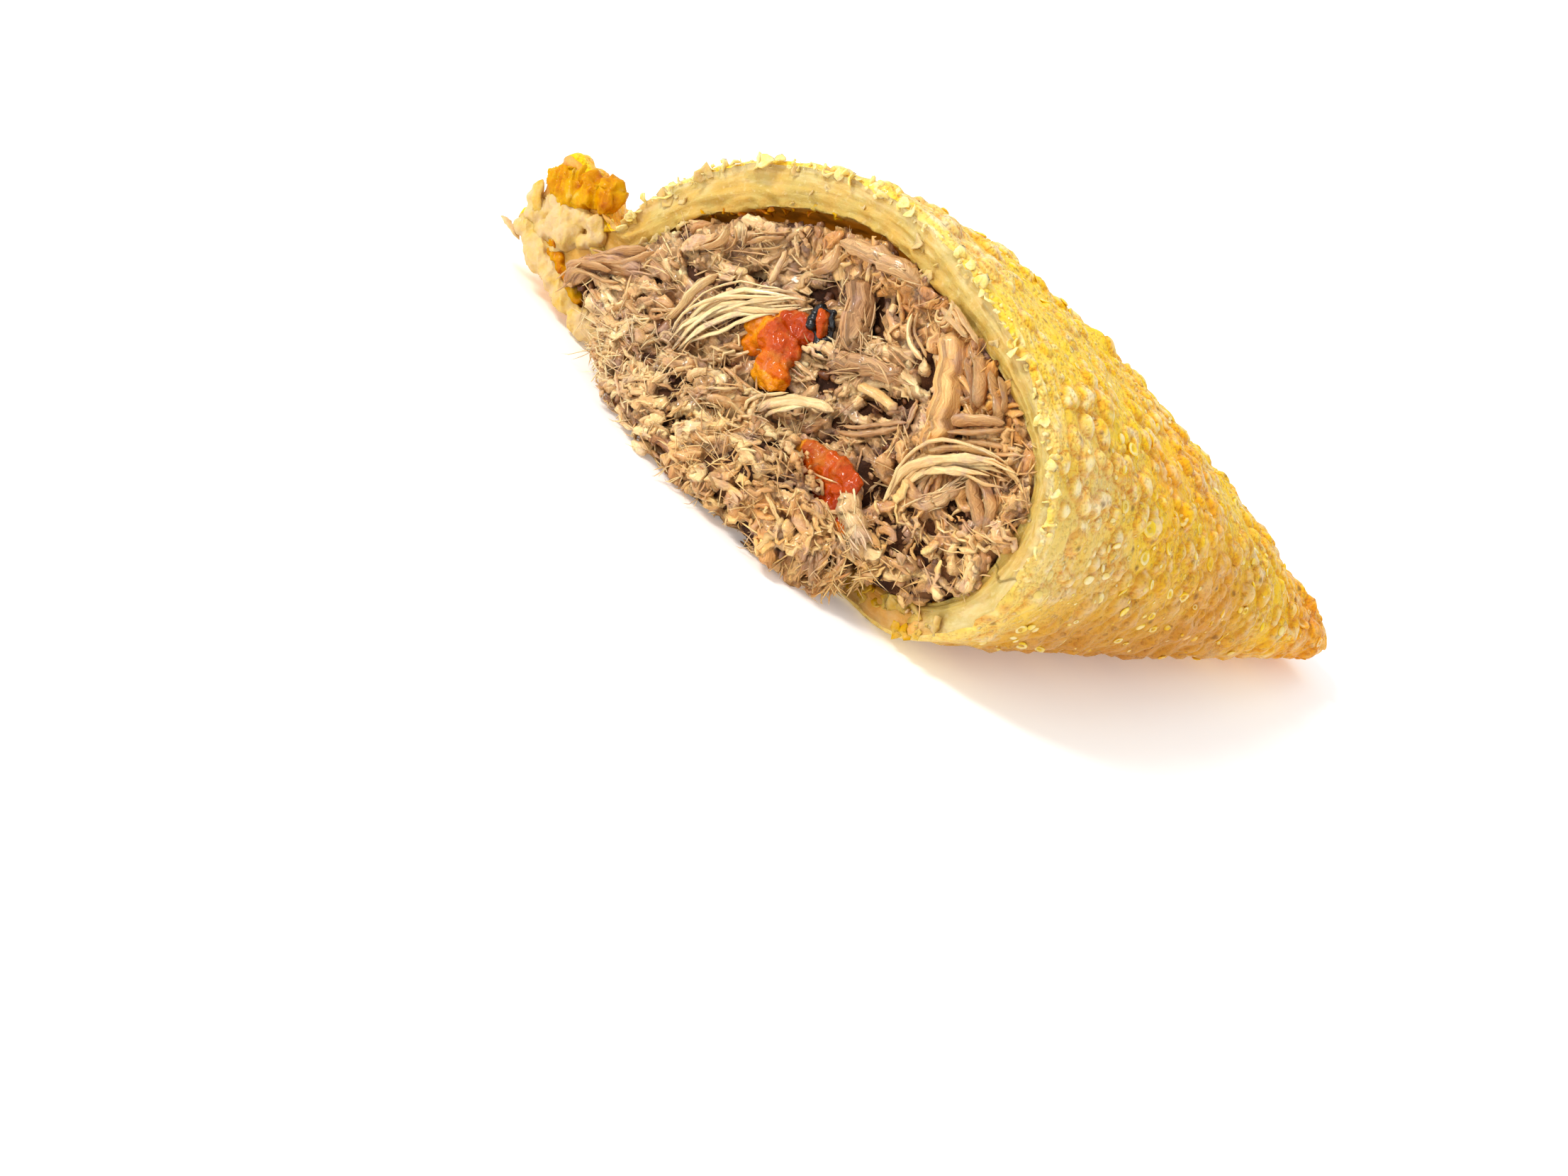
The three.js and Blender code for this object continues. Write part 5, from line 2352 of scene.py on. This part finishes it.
    def shred(self, spot: Array, way: Array, length: float, thick: float, tint: float, gold: float) -> None:
        """Adds a short torn fibre.

        Args:
            spot: its middle.
            way: its direction.
            length: how long it is.
            thick: its radius.
            tint, gold: its colour.
        """
        s = np.linspace(-0.5, 0.5, 6)
        bend = self.rng.normal(0, 0.16, 3) * length
        path = spot + np.outer(s * length, way) + np.outer(s * s, bend)
        blunt = float(self.rng.choice([1.6, 2.4, 8.0]))
        turn = self.draw(0, 3)
        self.paths[Cut.SHRED].add(path, thick, tint, gold, turn, blunt)

    def frame_along(self, path: Array) -> tuple[Array, Array, Array]:
        """A path's directions: along it, out of the surface, and sideways.

        Args:
            path: its points.

        Returns:
            Three directions for each point.
        """
        along = unit(np.gradient(path, axis=0))
        out = unit(np.array([list(self.tree.find_nearest(Vector(p))[1]) for p in path]) + 1e-6)
        return along, out, unit(np.cross(along, out))

    def chunk(self, path: Array, width: float, tint: float, gold: float, shreds: int,
              blunt: float = 4.0) -> None:
        """Adds a piece of meat with torn fibres along it.

        Args:
            path: its middle line.
            width: half its width.
            tint, gold: its colour.
            shreds: how many fibres lie on it.
            blunt: how square its ends are.
        """
        along, out, side = self.frame_along(path)
        tilt = self.draw(-0.4, 0.4)
        self.paths[Cut.CHUNK].add(path - out * width * 0.25, width, tint - 0.06, gold, tilt, blunt)
        for _ in range(shreds):
            at = int(self.rng.integers(0, len(path)))
            place = self.draw(-1.05, 1.05)
            rise = 0.5 * width * math.sqrt(max(0.0, 1 - min(1.0, place * place)))
            spot = path[at] + side[at] * place * width + out[at] * (rise + self.draw(0, 0.22))
            way = along[at] + side[at] * self.stray(0.2) + out[at] * self.stray(0.12)
            shade = tint + self.stray(0.13) + 0.06
            self.shred(spot, unit(way), self.draw(*self.torn_lengths), self.draw(*self.torn_radii),
                       shade, gold)

    def spread_lumps(self) -> list[Blob]:
        """Lays lumps of meat all over the surface, each of two blobs, and the last ones on top, lighter,
        with painted shade on the lower ones.

        Returns:
            The blobs.
        """
        blobs, taken = [], [Vector()]
        for number in range(self.lumps):
            spot, normal = max((self.draw_spot() for _ in range(3)),
                               key=lambda found: min((found[0] - old).length for old in taken))
            taken.append(spot)
            layer = number / self.lumps
            length = mix(*self.lump_lengths, float(self.rng.random()) ** 1.4)
            lift = mix(*self.lump_lifts, layer) + self.stray(0.35)
            path = self.walk(spot, self.flow(spot[1], spot[2]), length, 6, 0.16, lift, -0.2)
            path = straightened(path, self.draw(0.0, 0.8))
            if self.rng.random() < self.standing_share:
                path = path + np.outer(np.linspace(*self.standing_lifts, len(path)), list(normal))
            wide = mix(*self.lump_radii, float(self.rng.random()) ** 1.8) * mix(1.2, 0.8, layer)
            out = self.frame_along(path)[1][2]
            # Later lumps lie on top and are lighter, earlier ones lower down darker: painted shade by depth.
            tone = self.tint_at(spot) + 0.1 * layer + self.stray(0.2)
            for a, b in ((path[0], path[2]), (path[2], path[-1])):
                radii = tuple(wide * self.draw(0.5, 1.0) for _ in range(2))
                blobs.append(Blob(tuple(a), tuple(b), radii, tone, self.draw(0.45, 0.95), tuple(out)))
        return blobs

    def melt(self) -> Piece:
        """Covers the surface with lumps of meat melted into one torn mass.

        Returns:
            The mass, which the strands then lie on.
        """
        blobs = self.spread_lumps() + self.edge()
        mass = Mass(blobs, self.lump_voxel, 1)
        owner = mass.nearest()
        axes = unit(np.array([np.subtract(blob.end, blob.start) for blob in blobs]))[owner]
        side = unit(np.cross(axes, (0.31, 0.95, 0.05)))
        third = np.cross(axes, side)
        shift = (owner // 2)[:, None] * np.array([3.7, 1.9, 5.3])
        local = np.stack([np.sum(mass.points * way, 1) for way in (axes, side, third)], 1)
        fibre = local * (0.3, 1.6, 1.6) + shift
        mass.push(0.5 * (self.noise.ridges(fibre, 1.0) - 0.4) + 0.24 * self.noise(fibre * 1.9, 1.0)
                  + 0.24 * self.noise(mass.points, 1.4, 3))
        mass.points[:, 2] = np.maximum(mass.points[:, 2], 0.2)
        mass.points[:, 0] = np.maximum(mass.points[:, 0], Paths.FORWARD)
        near = [self.tree.find_nearest(Vector(p)) for p in mass.points.tolist()]
        rise = np.array([(Vector(p) - hit[0]).dot(hit[1]) for p, hit in zip(mass.points.tolist(), near)])
        # Points that lie low, near or under the surface beneath, are darkened: painted shade in the crevices
        # between lumps.
        tint = np.array([blob.tone for blob in blobs])[owner] - 0.45 * smooth(0.7, -0.3, rise)
        gold = np.array([self.gold_at(blob.start) for blob in blobs])[owner]
        attributes = {"tint": np.clip(tint, 0, 1), "gold": np.clip(gold, 0, 1), "along": local[:, 0],
                      "around": local[:, 1] + 0.7 * local[:, 2],
                      "thick": np.full(len(local), MM / (2 * math.pi))}
        self.tree = BVHTree.FromPolygons(mass.points.tolist(), mass.faces)
        return piece("meat_mass", mass.points, mass.faces, attributes, self.finishes.meat)

    def edge(self) -> list[Blob]:
        """Lumps that join the face to the dough round it.

        Returns:
            The lumps.
        """
        roof = self.section.hollow(0.0, 0.35)[2]
        blobs = []
        for _ in range(self.edge_lumps):
            at = int(self.rng.integers(2, len(roof) - 2))
            along = unit(roof[at + 1] - roof[at - 1])
            inward = np.array([-along[1], along[0]])
            if float(inward @ (self.face_centre - roof[at])) < 0:
                inward = -inward
            start = roof[at] + inward * (0.3 + 1.5 * float(bell(roof[at, 0] - 42, 12)))
            way = inward * self.draw(0.4, 1.0) + along * self.stray(0.7)
            end = start + unit(way) * self.draw(*self.edge_lengths)
            tone = self.tint_at((0.0, *end)) + self.stray(0.13)
            radii = (self.draw(0.4, 0.9), self.draw(0.3, 0.8))
            front = float(self.section.face_stand(end[0], end[1]))
            blobs.append(Blob((self.draw(0.0, 1.8), *start),
                              (0.3 - front - self.draw(-0.2, 0.5), *end), radii, tone, 0.8))
        return blobs

    def flow(self, y: float, z: float, stray: float = 0.5) -> Vector:
        """The way the meat's fibres run at a place on the face, straying from it at random.

        Args:
            y, z: the place.
            stray: how far it strays, in radians.

        Returns:
            The direction.
        """
        spot = np.array([0.0, y, z])
        level, steep = self.runs
        by_fold = float(smooth(24, 16, y) * smooth(6, 10, z))
        by_crown = float(smooth(19, 23, z))
        turn = mix(level, steep, max(by_fold, by_crown))
        angle = turn + 0.9 * float(self.noise(spot, 7.0)) + 0.6 * float(self.noise(spot + 40, 3.0))
        angle += self.stray(stray)
        return Vector((0.15 * self.stray(1.0), math.cos(angle), math.sin(angle)))

    def draw_spot(self) -> tuple[Vector, Vector]:
        """A random place on the face or the spill, clear of the peppers.

        Returns:
            The place and its normal.
        """
        while True:
            if self.rng.random() < self.spill_share:
                a, b = self.rng.uniform(0.2, 2.95), self.rng.uniform(math.pi * 0.5, math.pi * 1.5)
                ball = np.array([math.sin(a) * math.cos(b), math.cos(a), math.sin(a) * math.sin(b)])
                place = ball * self.section.spill_radii * 1.1 + self.section.spill_centre
                spot, normal, _, _ = self.tree.find_nearest(Vector(place.tolist()))
            else:
                y, z = self.rng.uniform(*self.face_across), self.rng.uniform(*self.face_up)
                spot, normal = self.seen(y, z)
            if spot is None or spot[0] > 2.4:
                continue
            under = float(np.interp(spot[1], self.roof[:, 0], self.roof[:, 1])) - spot[2]
            if under < 0.4 + 1.9 * float(bell(spot[1] - 43, 13)) and spot[1] > 18:
                continue
            if all(math.hypot(spot[1] - y, spot[2] - z) > r for y, z, r in self.keep_clear):
                return spot, normal

    def gold_at(self, spot: Sequence[float]) -> float:
        """How golden the meat is at a place.

        Args:
            spot: the place.

        Returns:
            The share of gold, mostly from 0 to 1.
        """
        _, y, z = spot
        edge = 0.5 * float(smooth(21, 26, z)) + 0.35 * float(smooth(22, 12, y))
        low = 0.45 * float(smooth(12, 4, z)) * float(smooth(42, 20, y))
        return 0.12 + max(edge, low) + self.draw(-0.12, 0.22)

    def scatter_shreds(self) -> None:
        """Scatters short torn fibres."""
        for _ in range(self.loose_shreds):
            spot, normal = self.draw_spot()
            way = self.flow(spot[1], spot[2], 0.8) + normal * self.stray(0.4, 0.1)
            place = np.array(list(spot + normal * self.draw(-0.1, 0.7)))
            tint = self.tint_at(spot) + self.stray(0.18, 0.12)
            self.shred(place, unit(np.array(list(way))), self.draw(*self.shred_lengths),
                       self.draw(*self.shred_radii), tint, self.gold_at(spot))

    def scatter_strands(self) -> None:
        """Scatters strands and ribbons that follow the surface."""
        for kind, count, lengths, radii in self.loose:
            for _ in range(count):
                spot, _ = self.draw_spot()
                path = self.walk(spot, self.flow(spot[1], spot[2], 0.8), self.draw(*lengths), 12, 0.14,
                                 self.draw(-0.1, 0.7), self.draw(-0.3, 0.7))
                path = straightened(path, self.draw(0.2, 0.9))
                tint = self.tint_at(spot) + 0.12 + self.stray(0.13)
                self.paths[kind].add(path, self.draw(*radii), tint, self.gold_at(spot),
                                     self.draw(-0.9, 0.9), float(self.rng.choice([2.0, 5.0, 12.0])))

    def scatter_fuzz(self) -> None:
        """Scatters tufts of fine fibres that stand off the surface."""
        for _ in range(self.tufts):
            spot, normal = self.draw_spot()
            start = spot + normal * self.draw(-0.2, 0.5)
            lean = self.flow(spot[1], spot[2], 1.2) * 0.7 + normal * self.draw(0.2, 1.0)
            for _ in range(int(self.rng.integers(1, 5))):
                way = lean + Vector(self.rng.normal(0, 0.4, 3).tolist())
                length = self.draw(*self.fuzz_lengths)
                bend = Vector(self.rng.normal(0, 0.3, 3).tolist())
                path = [start + way * (length * s) + bend * (length * s * s) for s in np.linspace(0, 1, 5)]
                self.paths[Cut.FUZZ].add(np.array([list(p) for p in path]), self.draw(*self.fuzz_radii),
                                         self.tint_at(spot) + 0.3, self.gold_at(spot), 0.0, 1.5)

    def lay(self) -> None:
        """Lays the strands and chunks that have places of their own."""
        for item in LAID:
            rough = np.array([list(self.on_face(y, z)) for y, z in item.line])
            path = resample(curved(rough), self.laid_points, True)
            ends = np.linspace(path[:2, 0].mean(), path[-2:, 0].mean(), self.laid_points)
            path[:, 0] = mix(path[:, 0].mean(), ends, 0.6)
            s = np.linspace(0, 1, len(path))
            out = np.array(self.toward_front)
            path = path + np.outer(item.lift + item.arch * np.sin(math.pi * s) - 0.3, out)
            if item.kind is Cut.CHUNK:
                self.chunk(path, item.radius, item.tint, item.gold, item.copies, item.blunt)
                continue
            side = unit(np.cross(np.gradient(path, axis=0), out))
            swell = 0.3 + 0.7 * np.sin(math.pi * s)
            for place in np.linspace(-1, 1, item.copies) if item.copies > 1 else (0.0,):
                sway = 0.45 * np.sin(self.draw(0, 6) + self.draw(3, 7) * s)
                shift = (place + self.stray(0.25) + sway) * item.spread * swell
                rise = self.stray(0.2) + 0.3 * np.sin(self.draw(0, 6) + 5 * s)
                copy = path + side * shift[:, None] + np.outer(rise, out)
                shake = [self.noise(copy + 5 * place, 1.5), self.noise(copy + 9, 1.5)]
                copy[:, 1:] += 0.14 * np.stack(shake, 1)
                start, end = int(self.rng.integers(0, 4)), int(self.rng.integers(13, 17))
                thick = item.radius * self.draw(0.6, 1.3)
                tint = item.tint + self.stray(0.06)
                turn = self.draw(-0.4, 0.4)
                self.paths[item.kind].add(copy[start:end], thick, tint, item.gold, turn, item.blunt)

    def lay_loop(self) -> None:
        """Lays the curled strands by the crown, one inside the other."""
        middle = self.on_face(*self.loop_place)
        turn = np.linspace(0, 1.85 * math.pi, 18)
        for reach, thick in self.loops:
            wide = reach * (1 + 0.16 * np.sin(2 * turn + 5 * reach))
            front = -1.1 - 0.4 * np.cos(turn + 3 * reach)
            ring = np.stack([front, wide * np.cos(turn), wide * np.sin(turn)], 1)
            self.paths[Cut.STRAND].add(ring[int(4 * reach):] + list(middle), thick, 0.8, 0.3, 0.0, 4.0)

    def strands(self) -> list[Piece]:
        """Turns the paths into pieces, one of each kind.

        Returns:
            The pieces.
        """
        recipe = strand_recipe()
        made = []
        for kind, paths in self.paths.items():
            shape = PROFILES[kind]
            inputs = {"Sides": shape.sides, "Lobes": shape.lobes, "Lobe Depth": shape.lobe_depth,
                      "Flatness": shape.flatness, "Relief": shape.relief, "Pitch": shape.pitch,
                      "Material": self.finishes.meat}
            made.append(recipe.make(paths.host(), "meat_" + shape.name, inputs))
        return made

    def crumbs(self, surface: Sequence[Piece]) -> list[Piece]:
        """Small grains of meat over the core.

        Args:
            surface: the core and the spill.

        Returns:
            A piece for each.
        """
        recipe = scatter_recipe("meat_crumbs", True)
        shape = little_shape(Shape.CRUMB, 4)
        made = []
        for under in surface:
            host = linked("host", under.data.copy())
            made.append(self.grains.make(recipe, host, under.name + "_crumbs", shape, self.finishes.meat))
        bpy.data.objects.remove(shape)
        return made

    def build(self) -> list[Piece]:
        """Makes all the filling's pieces.

        Returns:
            The pieces.
        """
        surface = self.lay_surface()
        surface.append(self.melt())
        self.scatter_shreds()
        self.scatter_strands()
        self.scatter_fuzz()
        self.lay()
        self.lay_loop()
        pieces = surface + self.strands() + self.crumbs(surface[:2])
        for made in pieces:
            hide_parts("filling")
        return pieces


@dataclass
class Pepper:
    """A piece of pepper set into the filling's face."""

    node: str
    slot: str
    blobs: tuple[Blob, ...]
    material: Material
    section: Section
    voxel: float = 0.16
    warm_toward: Spot = (0.0, 1.0, -0.2)
    film_toward: Spot = (0.0, -0.3, 1.0)
    relief: float = 0.34
    name: str = ""

    def _forward(self, place: Spot) -> Spot:
        """A place whose x is counted from the filling's face."""
        x, y, z = place
        return (x - float(self.section.face_stand(y, z)), y, z)

    def build(self) -> list[Piece]:
        """Makes the piece in its solid's place.

        Returns:
            The piece, as a list of one.
        """
        moved = [Blob(self._forward(b.start), self._forward(b.end), b.radii, b.tone, b.flat, b.flat_along)
                 for b in self.blobs]
        mass = Mass(moved, self.voxel)
        noise = Unevenness(3)
        mass.push(self.relief * noise(mass.points, 1.4, 3) + 0.15 * noise(mass.points, 0.55, 2))
        # The film is stronger on faces that turn up: partly painted sheen.
        film = 0.35 + 0.3 * mass.toward(self.film_toward) + 0.3 * noise(mass.points, 2.0, 2)
        attributes = {"warm": mass.tone() + 0.15 * mass.toward(self.warm_toward), "film": film}
        made = piece(self.name or self.node + "_flesh", mass.points, mass.faces, attributes, self.material)
        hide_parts(self.node)
        return [made]


# ---- The studio ------------------------------------------------------------------------------------


@dataclass(frozen=True)
class Lamp:
    """A square soft light; its way is counted along the camera's right, up and back."""

    name: str
    way: Spot
    distance: float
    side: float
    watts: float
    colour: Spot = (1.0, 1.0, 1.0)


@dataclass(frozen=True)
class Studio:
    """A pale floor, soft lights and the camera."""

    finishes: Finishes
    section: Section
    azimuth: float = -58.0
    elevation: float = 17.0
    roll: float = 33.0
    distance: float = 390.0
    target: Spot = (0.0, 30.9, 16.6)
    target_pixel: Pair = (1160.0, 488.0)
    pixels_per_mm: float = 15.4
    picture: tuple[int, int] = (2212, 1659)
    sensor: float = 36.0
    floor_side: float = 3.0
    sky: float = 0.82
    lamps: tuple[Lamp, ...] = (Lamp("key", (-0.35, 1.0, 0.75), 0.7, 0.16, 3.0, (1.0, 0.98, 0.95)),
                               Lamp("side", (-0.9, 0.2, 1.0), 0.8, 0.35, 2.0),
                               Lamp("back", (0.8, 0.9, -0.5), 0.8, 0.3, 0.45))

    def camera(self) -> Matrix:
        """Places the camera.

        Returns:
            The turn of the camera, with its right, up and back as columns.
        """
        focal = self.pixels_per_mm * self.distance
        a, e, roll = (math.radians(v) for v in (self.azimuth, self.elevation, self.roll))
        back = Vector((math.sin(a) * math.cos(e), -math.cos(a) * math.cos(e), math.sin(e)))
        right = (-back).cross(Vector((0, 0, 1))).normalized()
        up = right.cross(-back)
        across = right * math.cos(roll) + up * math.sin(roll)
        upward = up * math.cos(roll) - right * math.sin(roll)
        turn = Matrix((across, upward, back))
        wide, high = self.picture
        u, v = self.target_pixel
        ray = Vector(((u - wide / 2) / focal, -(v - high / 2) / focal, -1.0)).normalized()
        swing = Vector((0, 0, -1)).rotation_difference(ray).to_matrix()
        turn = (swing @ turn).transposed()
        data = bpy.data.cameras.new("camera")
        data.sensor_width = self.sensor
        data.lens = self.sensor * focal / wide
        data.clip_start = 0.01
        made = linked("camera", data)
        place = Vector(self.target) + back * self.distance
        made.matrix_world = Matrix.Translation(place * MM + Vector(ZERO.tolist())) @ turn.to_4x4()
        bpy.context.scene.camera = made
        return turn

    def light(self, lamp: Lamp, turn: Matrix) -> None:
        """Adds a light.

        Args:
            lamp: the light.
            turn: the camera's turn, with its right, up and back as columns.
        """
        data = bpy.data.lights.new(lamp.name, "AREA")
        data.energy = lamp.watts
        data.size = lamp.side
        data.color = lamp.colour
        way = (turn @ Vector(lamp.way)).normalized()
        facing = way.to_track_quat("Z", "Y").to_matrix().to_4x4()
        linked(lamp.name, data).matrix_world = Matrix.Translation(way * lamp.distance) @ facing

    def build(self) -> None:
        """Sets up the floor, the lights, the sky and the camera."""
        turn = self.camera()
        for lamp in self.lamps:
            self.light(lamp, turn)
        world = bpy.data.worlds.new("sky")
        world.use_nodes = True
        shade = world.node_tree.nodes["Background"]
        shade.inputs[0].default_value = (1.0, 1.0, 1.0, 1.0)
        shade.inputs[1].default_value = self.sky
        bpy.context.scene.world = world
        view = bpy.context.scene.view_settings
        view.view_transform = "Standard"
        view.look = "None"
        mesh = bpy.data.meshes.new("floor")
        half = self.floor_side / 2
        mesh.from_pydata([(-half, -half, 0), (half, -half, 0), (half, half, 0), (-half, half, 0)], [],
                         [(0, 1, 2, 3)])
        mesh.materials.append(self.finishes.floor)
        made = linked("floor", mesh)


# ---- Everything ------------------------------------------------------------------------------------


def peppers(finishes: Finishes, section: Section) -> list[Pepper]:
    """The three pieces of pepper, the charred one with the red flesh in its loop.

    Args:
        finishes: the finishes.
        section: the turnover's section.

    Returns:
        The pieces, each still to be built.
    """
    upper = (
        Blob((-0.9, 36.5, 12.9), (-0.8, 35.7, 14.9), (1.5, 1.3), 0.75, 0.6),
        Blob((-1.1, 34.4, 16.2), (-0.9, 32.6, 16.9), (1.7, 1.5), 0.15, 0.6),
        Blob((-1.3, 34.6, 14.6), (-1.4, 33.2, 14.2), (2.0, 1.8), 0.35, 0.6),
        Blob((-1.1, 32.9, 12.6), (-1.0, 31.6, 12.4), (1.8, 1.4), 0.55, 0.6),
        Blob((-0.9, 33.2, 11.2), (-0.9, 31.2, 11.6), (0.9, 0.8), 0.9, 0.8),
        Blob((-0.9, 37.4, 14.0), (-0.9, 36.4, 15.6), (0.8, 0.9), 0.8, 0.8),
    )
    lower = (
        Blob((-1.1, 23.2, 9.4), (-1.1, 20.7, 8.7), (1.6, 2.3), 0.3, 0.55),
        Blob((-1.3, 20.7, 9.6), (-1.3, 18.6, 9.9), (2.1, 1.7), 0.3, 0.55),
        Blob((-1.2, 19.2, 7.7), (-1.1, 16.8, 6.9), (2.2, 1.6), 0.1, 0.55),
        Blob((-0.9, 25.4, 8.6), (-0.9, 23.9, 8.9), (1.1, 1.1), 0.85, 0.7),
        Blob((-1.0, 16.2, 6.4), (-0.9, 15.5, 5.7), (1.2, 0.8), 0.7, 0.7),
    )
    loop = ((32.7, 19.5), (31.5, 19.8), (30.8, 18.8), (30.5, 17.4), (31.2, 16.8), (32.3, 17.7), (33.0, 18.9))
    charred = tuple(Blob((-1.4, *a), (-1.4, *b), (0.34 + 0.1 * (k % 3), 0.42))
                    for k, (a, b) in enumerate(zip(loop, loop[1:] + loop[:1])))
    charred += (Blob((-1.3, 31.0, 17.0), (-1.3, 30.4, 16.2), (0.6, 0.5)),)
    heart = (Blob((-1.1, 32.2, 19.0), (-1.1, 31.4, 17.7), (0.8, 0.7), 0.3),)
    return [Pepper("pepper_upper", "pepper", upper, finishes.pepper, section),
            Pepper("pepper_lower", "pepper", lower, finishes.pepper, section),
            Pepper("pepper_charred", "charred_pepper", charred, finishes.char, section),
            Pepper("pepper_upper", "pepper", heart, finishes.pepper, section, name="pepper_heart")]


def main() -> None:
    """Builds the turnover's looks, piece by piece."""
    logging.basicConfig(level=logging.INFO, format="%(name)s: %(message)s")
    finishes = Finishes()
    section = Section()
    Studio(finishes, section).build()
    parts = [Crust(section, finishes), Knot(finishes), Filling(section, finishes),
             *peppers(finishes, section)]
    total = 0
    for part in parts:
        for made in part.build():
            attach(made, "root")
            count = sum(len(f.vertices) - 2 for f in made.data.polygons)
            total += count
            LOG.info("%s: %d triangles", made.name, count)
    LOG.info("all: %d triangles", total)


if __name__ == "__main__":
    main()
